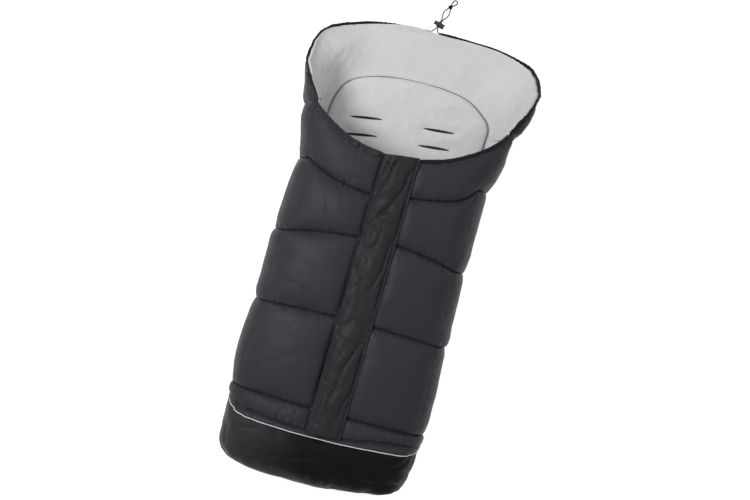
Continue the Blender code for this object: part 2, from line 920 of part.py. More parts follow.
def box(name, x, y, z, material, parent, bevel=0):
    """A block between the given pairs of x, y and z, with its edges eased."""
    def build(bm):
        size = [b - a for a, b in (x, y, z)]
        middle = [(a + b) / 2 for a, b in (x, y, z)]
        bmesh.ops.create_cube(bm, size=1, matrix=Matrix.Translation(middle) @
                              Matrix.Diagonal((*size, 1)))
        if bevel:
            bmesh.ops.bevel(bm, geom=bm.edges[:], offset=bevel, segments=1, affect="EDGES")
    return solid(name, build, material, parent)


def zip_length():
    return hypot(lip_y - foot_seam_y, lip_height - foot_height)


# The slider plate's right half, from its foot end: shares of its length and half width
slider_outline_shares = ((-0.5, 0.62), (-0.2, 0.70), (0.25, 1.0), (0.42, 0.92), (0.5, 0.62))


def make_zip(shell, black, metal):
    """Tapes, teeth, stops, slider and pull on the straight line under the placket."""
    line = bpy.data.objects.new("zip_line", None)
    bpy.context.collection.objects.link(line)
    line.location = (0, lip_y, lip_height)
    line.rotation_euler = (atan2(lip_height - foot_height, lip_y - foot_seam_y), 0, 0)
    foot_x = -zip_length() + zip_end_margin
    head = -zip_end_margin
    tape_top = -tape_depth
    tape_low = tape_top - tape_wall
    middle = (tape_top + tape_low) / 2
    teeth_z = (middle - tooth_wall / 2, middle + tooth_wall / 2)
    spine = tape_bead_x - seam_gap
    for side, label in ((1, "right"), (-1, "left")):
        box(f"zip_tape_{label}", sorted((side * tape_bead_x, side * tape_half_width)),
            (foot_x, head), (tape_low, tape_top), shell, line)
        top_y = head - stop_length - seam_gap
        low_y = foot_x + bottom_stop_length + seam_gap
        count = int((top_y - low_y - tooth_pitch) / tooth_pitch)
        start = low_y + (tooth_pitch / 2 if side > 0 else 0)
        outline = [(side * spine, low_y)]
        for k in range(count):
            y = start + tooth_pitch * k + (tooth_pitch - tooth_length) / 2
            outline += [(side * tooth_root_x, y), (side * tooth_tip_x, y + tooth_length * 0.15),
                        (side * tooth_tip_x, y + tooth_length * 0.85),
                        (side * tooth_root_x, y + tooth_length)]
        outline.insert(1, (side * tooth_root_x, low_y))
        outline += [(side * tooth_root_x, top_y), (side * spine, top_y)]
        solid(f"zip_teeth_{label}", stack([[(x, y, z) for x, y in outline] for z in teeth_z]),
              black, line)
        box(f"zip_top_stop_{label}", sorted((side * tooth_tip_x, side * spine)),
            (head - stop_length, head), teeth_z, metal, line, stop_ease)
    box("zip_bottom_stop", (-spine, spine), (foot_x, foot_x + bottom_stop_length),
        teeth_z, metal, line, stop_ease)

    # Slider: an upper and a lower plate on a post that runs between the rows
    slider_y = (head - stop_length - seam_gap - slider_length, head - stop_length - seam_gap)
    low = teeth_z[0] - running_gap
    high = teeth_z[1] + running_gap
    centre_y = sum(slider_y) / 2

    def plate(z0, z1):
        def build(bm):
            outline = []
            for share_y, share_x in slider_outline_shares:
                outline.append((slider_half_width * share_x,
                                centre_y + slider_length * share_y))
            ring = outline + [(-x, y) for x, y in reversed(outline)]
            stack([[(x, y, z) for x, y in ring] for z in (z0, z1)])(bm)
        return build

    slider = solid("zip_slider", plate(high, high + slider_plate), metal, line)
    lower = solid("slider_lower_guide", plate(low - slider_plate, low), metal, line)
    post_y = slider_y[1] - slider_length * 0.12
    post = box("slider_post_guide", (-slider_post_width / 2, slider_post_width / 2),
               (post_y - slider_post_length, post_y),
               (low - slider_plate / 2, high + slider_plate / 2), metal, line)
    deck = high + slider_plate
    bridge_y = (centre_y - bridge_length / 2, centre_y + bridge_length / 2)

    def arch(bm):
        profile = [(bridge_y[0], deck - slider_plate / 2), (bridge_y[0], deck + bridge_height * 0.7),
                   (bridge_y[0] + bridge_wall, deck + bridge_height),
                   (bridge_y[1] - bridge_wall, deck + bridge_height),
                   (bridge_y[1], deck + bridge_height * 0.7), (bridge_y[1], deck - slider_plate / 2),
                   (bridge_y[1] - bridge_wall, deck - slider_plate / 2),
                   (bridge_y[1] - bridge_wall, deck + bridge_height - bridge_wall),
                   (bridge_y[0] + bridge_wall, deck + bridge_height - bridge_wall),
                   (bridge_y[0] + bridge_wall, deck - slider_plate / 2)]
        stack([[(x, y, z) for y, z in profile] for x in
               (-bridge_half_width, bridge_half_width)])(bm)

    bridge = solid("slider_bridge_guide", arch, metal, line)
    for guide in (post, lower, bridge):
        guide.hide_render = True
        guide.display_type = "WIRE"
        join = slider.modifiers.new(guide.name, "BOOLEAN")
        join.operation = "UNION"
        join.solver = "EXACT"
        join.object = guide

    # Pull: a tab whose eye rides under the bridge, pointing to the foot
    axle_y = bridge_y[0] + bridge_wall + running_gap + pull_wall / 2
    axle_z = deck + running_gap + pull_wall / 2
    hinge = bpy.data.objects.new("zip_pull_axis", None)
    bpy.context.collection.objects.link(hinge)
    hinge.parent = line
    hinge.location = (0, axle_y, axle_z)
    eye = bridge_half_width + running_gap
    bar = pull_wall / 2
    far = -(bridge_wall + 2 * running_gap + bar)

    def tab(bm):
        outer = [(-eye - pull_eye / 2, bar), (-pull_half_width, -pull_length * 0.35),
                 (-pull_half_width, -pull_length * 0.9), (-pull_half_width * 0.6, -pull_length),
                 (pull_half_width * 0.6, -pull_length), (pull_half_width, -pull_length * 0.9),
                 (pull_half_width, -pull_length * 0.35), (eye + pull_eye / 2, bar)]
        stack([[(x, y, z) for x, y in outer] for z in (-bar, bar)])(bm)

    def eye_hole(bm):
        ring = [(-eye, -bar), (-eye, far), (eye, far), (eye, -bar)]
        stack([[(x, y, z) for x, y in ring] for z in (-bar - overrun, bar + overrun)])(bm)

    pull = solid("zip_pull", tab, metal, hinge)
    hole = solid("pull_eye_cutter", eye_hole, metal, hinge)
    hole.hide_render = True
    hole.display_type = "WIRE"
    cut = pull.modifiers.new("eye", "BOOLEAN")
    cut.operation = "DIFFERENCE"
    cut.solver = "EXACT"
    cut.object = hole
    return line


# Placket

# Columns across the placket: left of the zip's groove, over it and right of it
left_column_shares = (0, 0.25, 0.6)
groove_column_shares = (0, 0.25, 0.5, 0.75, 1)
right_column_shares = (0.35, 0.7, 1)


def make_placket(line, shell, black):
    """The padded flap over the zip, hinged on its sewn left edge, with its touch fasteners."""
    axis = bpy.data.objects.new("placket_axis", None)
    bpy.context.collection.objects.link(axis)
    axis.parent = line
    axis.location = (-placket_left_x, 0, seam_gap + placket_edge_wall)
    wide = placket_left_x + placket_right_x
    long = zip_length() - zip_end_margin
    lower = -placket_edge_wall
    bay = (patch_half_width * 2 + running_gap, patch_length + running_gap)
    groove = (placket_left_x - zip_groove_half_width, placket_left_x + zip_groove_half_width)
    across = [groove[0] * share for share in left_column_shares]
    across += [mix(*groove, share) for share in groove_column_shares]
    across += [mix(groove[1], wide, share) for share in right_column_shares]
    down = spread(0, 1, 15)

    def build(bm):
        skins = ([], [])
        for i, v in enumerate(down):
            for skin, low in zip(skins, (False, True)):
                row = []
                for x in across:
                    u = x / wide
                    swell = (4 * u * (1 - u)) ** 0.6 * (0.75 + 0.25 * cos(pi * 5 * v))
                    swell *= ease(v / 0.06) * ease((1 - v) / 0.06)
                    dome = placket_arch * ease(min(u, 1 - u) / 0.3)
                    beside = 1 - abs(x - placket_left_x) / zip_groove_half_width
                    z = lower + placket_arch * ease(beside / 0.5)
                    if not low:
                        z = dome + placket_swell * swell
                    row.append(bm.verts.new((x, -zip_end_margin / 2 - long * v, z)))
                skin.append(row)
        upper_skin, lower_skin = skins
        for skin in skins:
            for low, high in zip(skin, skin[1:]):
                for k in range(len(across) - 1):
                    bm.faces.new((low[k], low[k + 1], high[k + 1], high[k]))
        for k in range(len(down) - 1):
            for side in (0, -1):
                bm.faces.new((upper_skin[k][side], upper_skin[k + 1][side],
                              lower_skin[k + 1][side], lower_skin[k][side]))
        for k in range(len(across) - 1):
            for end in (0, -1):
                bm.faces.new((upper_skin[end][k], upper_skin[end][k + 1],
                              lower_skin[end][k + 1], lower_skin[end][k]))

    placket = solid("placket", build, shell, axis)
    x = wide - patch_inset
    places = [-long * mix(patch_end_share, 1 - patch_end_share, k / (patch_count - 1))
              for k in range(patch_count)]
    recess = patch_wall + seam_gap

    def bays(bm):
        for y in places:
            bmesh.ops.create_cube(bm, size=1, matrix=Matrix.Translation(
                (x, y, lower - overrun / 2 + recess)) @ Matrix.Diagonal((*bay, overrun, 1)))

    cutter = solid("patch_bay_cutter", bays, shell, axis)
    cutter.hide_render = True
    cutter.display_type = "WIRE"
    cut = placket.modifiers.new("bays", "BOOLEAN")
    cut.operation = "DIFFERENCE"
    cut.solver = "EXACT"
    cut.object = cutter
    for k, y in enumerate(places):
        box(f"flap_hook_patch_{k + 1}", (x - patch_half_width, x + patch_half_width),
            (y - patch_length / 2, y + patch_length / 2), (lower, lower + patch_wall), black,
            axis)


def build_footmuff():
    for item in list(bpy.data.objects):
        bpy.data.objects.remove(item)
    shell = finish("shell_nylon", (0.030, 0.030, 0.035), 0.55)
    fleece = finish("fleece", (0.62, 0.62, 0.62), 0.95)
    black = finish("black_plastic", (0.010, 0.010, 0.010), 0.45)
    cord = finish("black_cord", (0.012, 0.012, 0.012), 0.75)
    metal = finish("zip_metal", (0.040, 0.040, 0.042), 0.35, 0.6)
    steel = finish("spring_steel", (0.55, 0.55, 0.56), 0.30, 1.0)
    reflector = finish("reflective_tape", (0.55, 0.56, 0.58), 0.30)

    make_back(shell, fleece)
    for side, label in ((1, "right"), (-1, "left")):
        make_gusset(side, label, shell, fleece)
        make_front(side, label, shell, fleece)
        make_casing(side, label, shell)
        make_string(side, label, cord)
    make_hood(shell, fleece)
    make_foot(shell, fleece, reflector)
    make_tail(cord)
    make_lock(black, steel)
    line = make_zip(shell, black, metal)
    make_placket(line, shell, black)


build_footmuff()
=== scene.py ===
"""Looks of a stroller footmuff: quilted nylon, fleece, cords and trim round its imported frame.

Metres, +Z up. The sack lies on its back with its front up, +Y to the head end.
"""
from math import atan2, cos, pi, radians, sin

import bmesh
import bpy
import numpy as np
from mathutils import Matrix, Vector


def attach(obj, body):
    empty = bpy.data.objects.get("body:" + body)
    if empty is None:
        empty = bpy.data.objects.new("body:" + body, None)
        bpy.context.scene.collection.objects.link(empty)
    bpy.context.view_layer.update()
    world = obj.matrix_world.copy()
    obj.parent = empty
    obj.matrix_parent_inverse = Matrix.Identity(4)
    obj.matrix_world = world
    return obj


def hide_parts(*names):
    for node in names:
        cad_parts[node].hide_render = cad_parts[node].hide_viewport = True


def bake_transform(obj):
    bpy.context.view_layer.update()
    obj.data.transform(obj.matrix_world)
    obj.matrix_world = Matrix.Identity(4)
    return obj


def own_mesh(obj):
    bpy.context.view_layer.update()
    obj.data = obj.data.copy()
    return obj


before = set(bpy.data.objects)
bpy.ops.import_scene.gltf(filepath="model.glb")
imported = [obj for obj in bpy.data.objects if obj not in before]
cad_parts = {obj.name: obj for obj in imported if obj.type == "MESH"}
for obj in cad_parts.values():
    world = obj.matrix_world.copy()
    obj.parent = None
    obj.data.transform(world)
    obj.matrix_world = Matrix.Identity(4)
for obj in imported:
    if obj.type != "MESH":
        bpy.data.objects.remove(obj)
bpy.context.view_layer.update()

# Sack outline
body_half_width = 0.1985
back_half_width = 0.168
side_seam_inset = 0.018
side_bulge = 0.011
foot_end_y = -0.5010
foot_seam_y = -0.398
lip_y = 0.173
hood_start_y = 0.260
lip_height = 0.166
foot_height = 0.142
side_seam_drop = 0.033
side_seam_run = 0.036
front_shoulder = 0.090
width_stations = np.array((foot_seam_y, -0.348, -0.262, -0.160, -0.020, 0.148, hood_start_y))
width_shares = np.array((0.955, 0.985, 1.0, 0.980, 0.962, 0.953, 1.045))

# Hood
hood_half_width = 0.2435
hood_rise = 0.004
hood_top_y = 0.456
hood_top_height = 0.004
arch_top_y = 0.346
arch_corner = 2.4
rim_corner = 3.4
rim_turns = np.radians((0, 5, 10, 16, 22, 29, 34, 38, 43, 50, 58, 72, 88, 105, 127, 134, 138, 143,
                        147, 151, 155, 161, 166, 171, 176, 180))
rim_spread = np.array((0, 5, 4, -2, -6, -3, 0, 4, 6, 3, 3, 1, 0, -1, -2.6, 1, 5, 7, 5, 0, -4, -6,
                       -3, 2, 1, -4)) * 0.001
casing_turns = np.radians((0, 16, 29, 34, 46, 58, 72, 86, 105, 127, 134, 140, 150, 160, 180))
casing_radii = np.array((3.4, 3.4, 3.0, 3.5, 3.8, 2.4, 2.2, 3.0, 2.8, 3.3, 3.3, 2.3, 2.1, 1.9,
                         1.8)) * 0.001

# Walls
shell_wall = 0.0060
hood_wall = 0.0012
fleece_wall = 0.0045
rim_to_fleece = 0.0022
back_fabric = 0.003
pad_base = 0.0033
pad_height = 0.0155

# Quilting, each seam given at the side seam and at the zip
quilt_lines = ((foot_seam_y, foot_seam_y), (-0.348, -0.348), (-0.160, -0.160),
               (-0.020, 0.006), (0.148, 0.092), (hood_start_y, lip_y))
quilt_side_steps = ((0, 0, -0.008, 0.007, 0, 0), (0, 0, -0.006, 0, 0, 0))
quilt_rise = 0.0110
gusset_rise = 0.0060
seam_sink = 0.0075
puff_shares = (0.50, 1.00, 1.00, 0.90, 0.72)
zip_groove = 0.0145
placket_left = -0.033
placket_right = 0.036
placket_edge = 0.003
placket_clear = 0.0003

# Cord and its lock
cord_radius = 0.0012
cord_spacing = 0.0027
exit_left = (-0.0125, 0.4603, 0.0085)
exit_right = (0.0030, 0.4602, 0.0085)
both_sides = ((1, "right", exit_right), (-1, "left", exit_left))
lock_centre = np.array((-0.000737, 0.477336, 0.0054))
lock_turn = radians(17)
forward = np.array((sin(lock_turn), cos(lock_turn), 0))
across = np.array((cos(lock_turn), -sin(lock_turn), 0))
lock_radius = 0.0054
spring_reach = (0.00515, 0.00935)
spring_radius = 0.0024
spring_wire = 0.00026
slide_room = 0.036
knot_along = 0.044
knot_height = 0.0044
loop_reach = 0.0185
loop_turn = 0.24
loop_half_width = 0.0044

# Foot
foot_rounding = 0.062
foot_straight_y = foot_end_y + foot_rounding
foot_corners = (3.7, 18.0)
piping_y = -0.409

# Slots in the back, each (x, y), and their size
slots = ((0.076, 0.256), (-0.076, 0.256), (0.076, 0.219), (-0.076, 0.219),
         (0.100, 0.015), (-0.100, 0.015), (0.0, -0.085))
slot_length = 0.062
slot_width = 0.005

# The filled sack lies a little twisted: the slope of each cross line, and how far the sides lean
twist_places = np.array((-0.51, -0.47, -0.42, -0.39, -0.34, -0.26, -0.16, 0.00, 0.12, 0.25, 0.34,
                         0.42, 0.48))
twist_slopes = np.array((0.065, 0.055, 0.035, 0.030, 0.0, 0.0, 0.01, 0.055, 0.12, 0.10, 0.10,
                         0.05, 0.03))
lean_places = np.array((-0.50, -0.40, -0.34, -0.28, -0.16, -0.05, 0.05, 0.12, 0.20, 0.30, 0.40,
                        0.47))
lean_steps = np.array((-0.006, -0.0035, -0.003, -0.0065, -0.0075, -0.0085, -0.010, -0.009,
                       -0.006, -0.004, -0.001, 0.0))
lean_reach = 0.10

# The neck leans to the right, and the arch of the back lies less twisted than the front
neck_places = np.array((0.16, 0.255, 0.30, 0.34))
neck_steps = np.array((0.0, 0.008, 0.005, 0.0))
arch_places = np.array((0.265, 0.315, 0.365, 0.42))
arch_shares = np.array((0.0, 1.0, 0.9, 0.0))
arch_twist = -0.07
arch_lift = 0.003

# How much further out than the frame the stuffed sides stand, left and right, at each y
fill_places = np.array((-0.47, -0.44, -0.41, -0.38, -0.345, -0.314, -0.28, -0.22, -0.175, -0.157,
                        -0.12, -0.06, -0.026, 0.006, 0.05, 0.10, 0.135, 0.166, 0.198, 0.23, 0.262))
fill_left = np.array((2, 3, 7, 8, 7, 6, 4, 3, 4, 5, 1, 3, 8, 4, 0, 0, 0, 0, 1, 4, 4)) * 0.001
fill_right = np.array((4, 3, 6, 8, 4, 4, 2, 0, 3, 5, -1, 0, 2, 2, 0, 0, 4, 9, 8, 2, 1)) * 0.001

# Foot seam and piping: how far they lie above their straight lines at each x
seam_places = np.array((-0.20, -0.185, -0.158, -0.12, -0.078, -0.035, 0.035, 0.069, 0.11, 0.158,
                        0.187, 0.20))
seam_lifts = np.array((33.0, 25.0, 16.5, 12.5, 9.0, 7.6, 7.4, 9.4, 16.5, 22.5, 26.2, 27.5)) * 0.001
piping_places = np.array((-0.20, -0.188, -0.176, -0.162, -0.148, -0.119, -0.085, -0.051, -0.018,
                          0.029, 0.073, 0.115, 0.149, 0.176, 0.190, 0.20))
piping_lifts = np.array((36.0, 27.0, 20.0, 15.5, 12.6, 10.2, 8.8, 7.6, 7.2, 7.2, 8.4, 10.6, 12.0,
                         14.6, 18.4, 24.0)) * 0.001

# Foot end: how far it lies short of its straight end at each x
end_places = np.array((-0.20, -0.165, -0.14, -0.116, -0.092, -0.06, -0.03, 0.0, 0.03, 0.055,
                       0.08, 0.10, 0.124, 0.148, 0.20))
end_lifts = np.array((-9.0, 2.9, 4.8, 6.3, 5.5, 3.8, 2.0, 3.0, 6.6, 10.3, 13.0, 13.4, 16.9, 14.0,
                      15.0)) * 0.001

# Camera, background and floor
camera_height = 2.46
camera_aim = (0.0, -0.012)
camera_roll = radians(16)
metres_wide = 1.50
mean_front_height = 0.11
sensor = 36.0
world_strength = 0.47
floor_glow = 0.84
floor_reach = 6.0
floor_drop = 0.0004


# Small helpers

def vec(x, y, z):
    parts = np.broadcast_arrays(*(np.asarray(a, float) for a in (x, y, z)))
    return np.stack(parts, axis=-1)


def mix(a, b, share):
    return a + (b - a) * share


def ease(share):
    share = np.clip(share, 0.0, 1.0)
    return share * share * (3 - 2 * share)


def unit(v):
    """Unit vectors along the last axis."""
    return v / np.linalg.norm(v, axis=-1, keepdims=True)


def superellipse(angle, corner):
    """How far out a rounded box's edge lies in each direction, as a share of its half size."""
    return (np.abs(np.cos(angle)) ** corner + np.abs(np.sin(angle)) ** corner) ** (-1 / corner)


def bezier(p0, p1, p2, p3, t):
    t = np.asarray(t)[..., None]
    s = 1 - t
    return p0 * s ** 3 + 3 * p1 * s * s * t + 3 * p2 * s * t * t + p3 * t ** 3


def ripple(points, size, seed, waves=14):
    """Smooth noise between about -1 and 1, a sum of waves of about this size."""
    draw = np.random.RandomState(seed)
    total = np.zeros(points.shape[:-1])
    for _ in range(waves):
        turn = draw.normal(size=3)
        turn *= 2 * pi / size * draw.uniform(0.6, 1.5) / np.linalg.norm(turn)
        total += np.cos(points @ turn + draw.uniform(0, 2 * pi))
    return total / np.sqrt(waves)


def folds(points, scales, seed, sharp=0.3):
    """Soft bulges parted by sharp valleys, from 0 in the valleys to 1."""
    return 1 - np.exp(-np.abs(ripple(points * np.asarray(scales), 1.0, seed)) / sharp)


# The sack's outer surface

def top_height(y):
    return lip_height + (y - lip_y) * (lip_height - foot_height) / (lip_y - foot_seam_y)


def half_width(y):
    k = np.clip(np.searchsorted(width_stations, y, side="right") - 1, 0, len(width_stations) - 2)
    low, high = width_stations[k], width_stations[k + 1]
    share = ease((y - low) / (high - low))
    return body_half_width * mix(width_shares[k], width_shares[k + 1], share)


def rails(y):
    wide = half_width(y)
    seam_z = top_height(y) - side_seam_drop
    return (vec(back_half_width, y, 0), vec(wide + side_bulge, y, 0),
            vec(wide + side_bulge, y, seam_z - side_seam_drop),
            vec(wide - side_seam_inset, y, seam_z))


def section(y, w):
    """Points of the section at y: w 0 back centre, 1 back seam, 2 side seam, 3 front centre."""
    y, w = np.broadcast_arrays(np.asarray(y, float), np.asarray(w, float))
    side = np.where(w > 3, -1.0, 1.0)
    v = np.where(w > 3, 6 - w, w)
    r0, r1, r2, r3 = rails(y)
    back = vec(r0[..., 0] * v, y, 0)
    wall = bezier(r0, r1, r2, r3, v - 1)
    tangent = unit(r3 - r2) * side_seam_run
    top = top_height(y)
    front = bezier(r3, r3 + tangent, vec(front_shoulder, y, top), vec(0, y, top), v - 2)
    p = np.where((v < 1)[..., None], back, np.where((v < 2)[..., None], wall, front))
    p = p.copy()
    p[..., 0] *= side
    return p


def w_at(y, x):
    """The w between side seam and centre at which the section at y has this x."""
    low, high = np.full(np.shape(x), 2.0), np.full(np.shape(x), 3.0)
    for _ in range(24):
        middle = (low + high) / 2
        outside = section(y, middle)[..., 0] > x
        low = np.where(outside, middle, low)
        high = np.where(outside, high, middle)
    return low


def hood(q, v):
    """The flared collar: q 0 right, pi left; v 0 at the back's seam, 1 at the rim."""
    q, v = np.broadcast_arrays(np.asarray(q, float), np.asarray(v, float))
    c, s = np.cos(q), np.sin(q)
    out = []
    for k, start in enumerate(rails(np.array(hood_start_y))):
        share = k / 3
        corner = mix(arch_corner, rim_corner, share)
        reach = superellipse(q, corner)
        wide = (start[0], start[0], mix(start[0], hood_half_width, 0.65), hood_half_width)[k]
        rim_y = mix(arch_top_y, hood_top_y, share)
        high = (0, 0, hood_top_height * 0.2, hood_top_height)[k]
        spread = (0, 0.1, 0.5, 1.0)[k] * smooth_table(q, rim_turns, rim_spread)
        lift = (0, 0, 0, hood_rise)[k] * ease(s / 0.3) * (1 - ease((s - 0.3) / 0.5))
        x = c * (reach * mix(start[0], wide, ease(s / 0.45)) + spread)
        y = hood_start_y + s * (reach * (rim_y - hood_start_y) + spread)
        out.append(vec(x, y, mix(start[2], high, ease((s - 0.18) / 0.74)) + lift))
    return bezier(*out, v)


def foot(t, w):
    """The foot cap: t below 0 is straight, in metres; 0 to pi/2 rounds the end."""
    t, w = np.broadcast_arrays(np.asarray(t, float), np.asarray(w, float))
    turn = np.maximum(t, 0)
    corner = mix(*foot_corners, ease((3.2 - w) / 0.8) * ease(w / 0.6))
    reach = superellipse(turn, corner)
    p = section(foot_straight_y - np.minimum(t, 0), w)
    middle = top_height(foot_straight_y) / 2
    share = np.cos(turn) * reach
    bent = vec(p[..., 0] * share, foot_straight_y - foot_rounding * np.sin(turn) * reach,
               middle + (p[..., 2] - middle) * share)
    out = np.where((t > 0)[..., None], bent, p)
    out[..., 1] += smooth_table(out[..., 0], end_places, end_lifts) * ease(
        (foot_straight_y + 0.02 - out[..., 1]) / 0.07)
    return out


def smooth_table(value, places, table):
    """Look a value up in a table, eased from entry to entry."""
    k = np.clip(np.searchsorted(places, value, side="right") - 1, 0, len(places) - 2)
    share = ease((value - places[k]) / (places[k + 1] - places[k]))
    return mix(table[k], table[k + 1], share)


def cord_line(corners, count):
    """A smooth line through corner points, evenly spaced."""
    corners = np.asarray(corners, float)
    ends = np.concatenate([[2 * corners[0] - corners[1]], corners,
                           [2 * corners[-1] - corners[-2]]])
    dense = []
    for k in range(len(corners) - 1):
        p0, p1, p2, p3 = ends[k:k + 4]
        t = np.linspace(0, 1, 24, endpoint=False)[:, None]
        dense.append(0.5 * (2 * p1 + (p2 - p0) * t + (2 * p0 - 5 * p1 + 4 * p2 - p3) * t * t +
                            (3 * p1 - p0 - 3 * p2 + p3) * t ** 3))
    dense = np.concatenate([*dense, corners[-1:]])
    return spaced(dense, count)


def spaced(line, count):
    """The same line with this many points, evenly spaced."""
    gone = np.concatenate([[0], np.cumsum(np.linalg.norm(np.diff(line, axis=0), axis=1))])
    at = np.linspace(0, gone[-1], count)
    return np.stack([np.interp(at, gone, line[:, k]) for k in range(3)], -1)


def length_of(line):
    return float(np.linalg.norm(np.diff(line, axis=0), axis=1).sum())


def settle(points):
    """Twist and lean the sack a little, as it lies filled in the photograph."""
    out = points.copy()
    x, y = points[..., 0], points[..., 1]
    out[..., 1] += smooth_table(y, twist_places, twist_slopes) * x
    out[..., 0] += smooth_table(y, lean_places, lean_steps) * ease(np.abs(x) / lean_reach)
    high = ease((points[..., 2] - 0.085) / 0.045)
    out[..., 0] += smooth_table(y, neck_places, neck_steps) * high * ease((x - 0.10) / 0.07)
    low = smooth_table(y, arch_places, arch_shares) * (1 - ease((points[..., 2] - 0.022) / 0.04))
    out[..., 1] += low * (arch_twist * x + arch_lift)
    near_arch = ease((y - 0.12) / 0.08) * (1 - ease((y - 0.33) / 0.07))
    flat = 1 - ease((points[..., 2] - 0.022) / 0.04)
    out[..., 0] -= 0.005 * near_arch * flat * ease((x - 0.09) / 0.06)
    return out


def side_lift(table_places, table, x, v):
    """A table's value at x on the front, and eased away down the side to the back seam."""
    edge = np.sign(x) * 0.2
    front = smooth_table(x, table_places, table)
    beyond = smooth_table(edge, table_places, table)
    side = mix(smooth_table(np.sign(x) * 0.182, table_places, table), beyond,
               ease((1 - v) / 0.35))
    return np.where(v < 1, side * ease(v / 0.5), front)


def side_fill(y, v, side):
    """How far the side stands out; v 1 at the back seam, 2 at the side seam, 3 in front."""
    table = fill_right if side > 0 else fill_left
    return smooth_table(y, fill_places, table) * ease((v - 1) / 0.35) * ease((2.45 - v) / 0.55)


def normals(points, inside):
    """Unit normals of a grid of points, away from the inside points."""
    n = np.cross(np.gradient(points, axis=0), np.gradient(points, axis=1))
    n /= np.linalg.norm(n, axis=-1, keepdims=True) + 1e-12
    sign = np.sign(np.sum(n * (points - inside)))
    return n * sign


def sack_axis(points):
    return vec(0, np.minimum(points[..., 1], hood_start_y), lip_height / 2)


def push(points, height):
    """Move a grid of points out along its normals by a height for each."""
    return points + normals(points, sack_axis(points)) * np.asarray(height)[..., None]


# Meshes

def link(name, mesh, material):
    for polygon in mesh.polygons:
        polygon.use_smooth = True
    mesh.set_sharp_from_angle(angle=radians(72))
    piece = bpy.data.objects.new(name, mesh)
    piece.data.materials.append(material)
    bpy.context.scene.collection.objects.link(piece)
    return piece


def build(name, points, faces, material, uv=None):
    """A mesh object from points and faces, its faces turned out."""
    mesh = bpy.data.meshes.new(name)
    faces = [list(map(int, face)) for face in faces]
    mesh.from_pydata(np.asarray(points).reshape(-1, 3).tolist(), [], faces)
    if uv is not None:
        layer = mesh.uv_layers.new(name="cloth")
        corners = np.array([k for face in faces for k in face])
        layer.data.foreach_set("uv", np.asarray(uv, np.float32)[corners].reshape(-1))
    bm = bmesh.new()
    bm.from_mesh(mesh)
    bmesh.ops.recalc_face_normals(bm, faces=bm.faces)
    bm.to_mesh(mesh)
    bm.free()
    return link(name, mesh, material)


def numbered(rows, columns):
    """A grid of vertex numbers."""
    return np.arange(rows * columns).reshape(rows, columns)


def ringed(index):
    """The same vertex numbers with the first column again after the last."""
    return np.hstack([index, index[:, :1]])


def quads(index):
    """Faces of a grid of vertex numbers."""
    return np.stack([index[:-1, :-1], index[1:, :-1], index[1:, 1:], index[:-1, 1:]],
                    -1).reshape(-1, 4)


def closed_faces(rows, columns):
    """Faces of a tube of rings, with both its ends closed."""
    index = numbered(rows, columns)
    return quads(ringed(index)).tolist() + [index[0].tolist(), index[-1].tolist()]


def arc_lengths(points, axis):
    steps = np.linalg.norm(np.diff(points, axis=axis), axis=-1)
    pad = [(0, 0), (0, 0)]
    pad[axis] = (1, 0)
    return np.cumsum(np.pad(steps, pad), axis=axis)


def slab(name, outer, inner, material):
    """A closed piece between two grids of points, with UVs in metres."""
    outer, inner = outer.copy(), inner.copy()
    outer[..., 2] = np.maximum(outer[..., 2], 0.0003)
    inner[..., 2] = np.maximum(inner[..., 2], 0.0009)
    index = numbered(*outer.shape[:2])
    count = index.size
    faces = [quads(index), quads(index)[:, ::-1] + count]
    for line in (index[0], index[-1][::-1], index[:, -1], index[:, 0][::-1]):
        faces.append(np.stack([line[:-1], line[1:], line[1:] + count, line[:-1] + count], -1))
    points = np.concatenate([outer.reshape(-1, 3), inner.reshape(-1, 3)])
    uv = np.stack([arc_lengths(outer, 1), arc_lengths(outer, 0)], -1).reshape(-1, 2)
    return build(name, points, np.concatenate(faces), material, np.tile(uv, (2, 1)))


def round_angles(count):
    return np.linspace(0, 2 * pi, count, endpoint=False)


def rings(path, radius, sides):
    """Rings of points round a path; radius may differ along the path and round the ring."""
    path = np.asarray(path, float)
    along = unit(np.gradient(path, axis=0))
    up = unit(np.array((0, 0, 1.0)) - along * along[:, 2:3])
    out = np.cross(along, up)
    angles = round_angles(sides)
    ring = (up[:, None] * np.cos(angles)[None, :, None] +
            out[:, None] * np.sin(angles)[None, :, None])
    radius = np.broadcast_to(np.reshape(radius, (-1, 1)) if np.ndim(radius) < 2 else radius,
                             (len(path), sides))
    return path[:, None] + ring * radius[..., None]


def end_rings(ring, tip, before, radius):
    """Two smaller rings that round off a tube's end, the outer one first."""
    ahead = (tip - before) / np.linalg.norm(tip - before) * radius
    return np.stack([tip + (ring - tip) * share + ahead * reach
                     for share, reach in ((0.35, 0.6), (0.75, 0.35))])


def tube_mesh(name, grid, material, around):
    """A closed tube of rings, with UVs along it and, up to this value, round it."""
    rows, sides = grid.shape[:2]
    gone = arc_lengths(grid, 0)[:, :1]
    uv = np.stack(np.broadcast_arrays(gone, np.linspace(0, around, sides)[None]), -1)
    return build(name, grid, closed_faces(rows, sides), material, uv.reshape(-1, 2))


def tube(name, path, radius, sides, material, round_end=True):
    """A tube along a path, with rounded ends unless told otherwise."""
    grid = rings(path, radius, sides)
    if round_end:
        size = np.linalg.norm(grid[0, 0] - path[0])
        grid = np.concatenate([end_rings(grid[0], path[0], path[1], size), grid,
                               end_rings(grid[-1], path[-1], path[-2], size)[::-1]])
    grid[..., 2] = np.maximum(grid[..., 2], 0.0002)
    return tube_mesh(name, grid, material, 1)


# A stitch's rings: place along it, width and height, as shares of its length and radius
stitch_shares = ((0.0, 0.25, -0.8), (0.2, 0.9, 0.15), (0.8, 0.9, 0.15), (1.0, 0.25, -0.8))
stitch_pitch = 0.0044
thread_radius = 0.00042


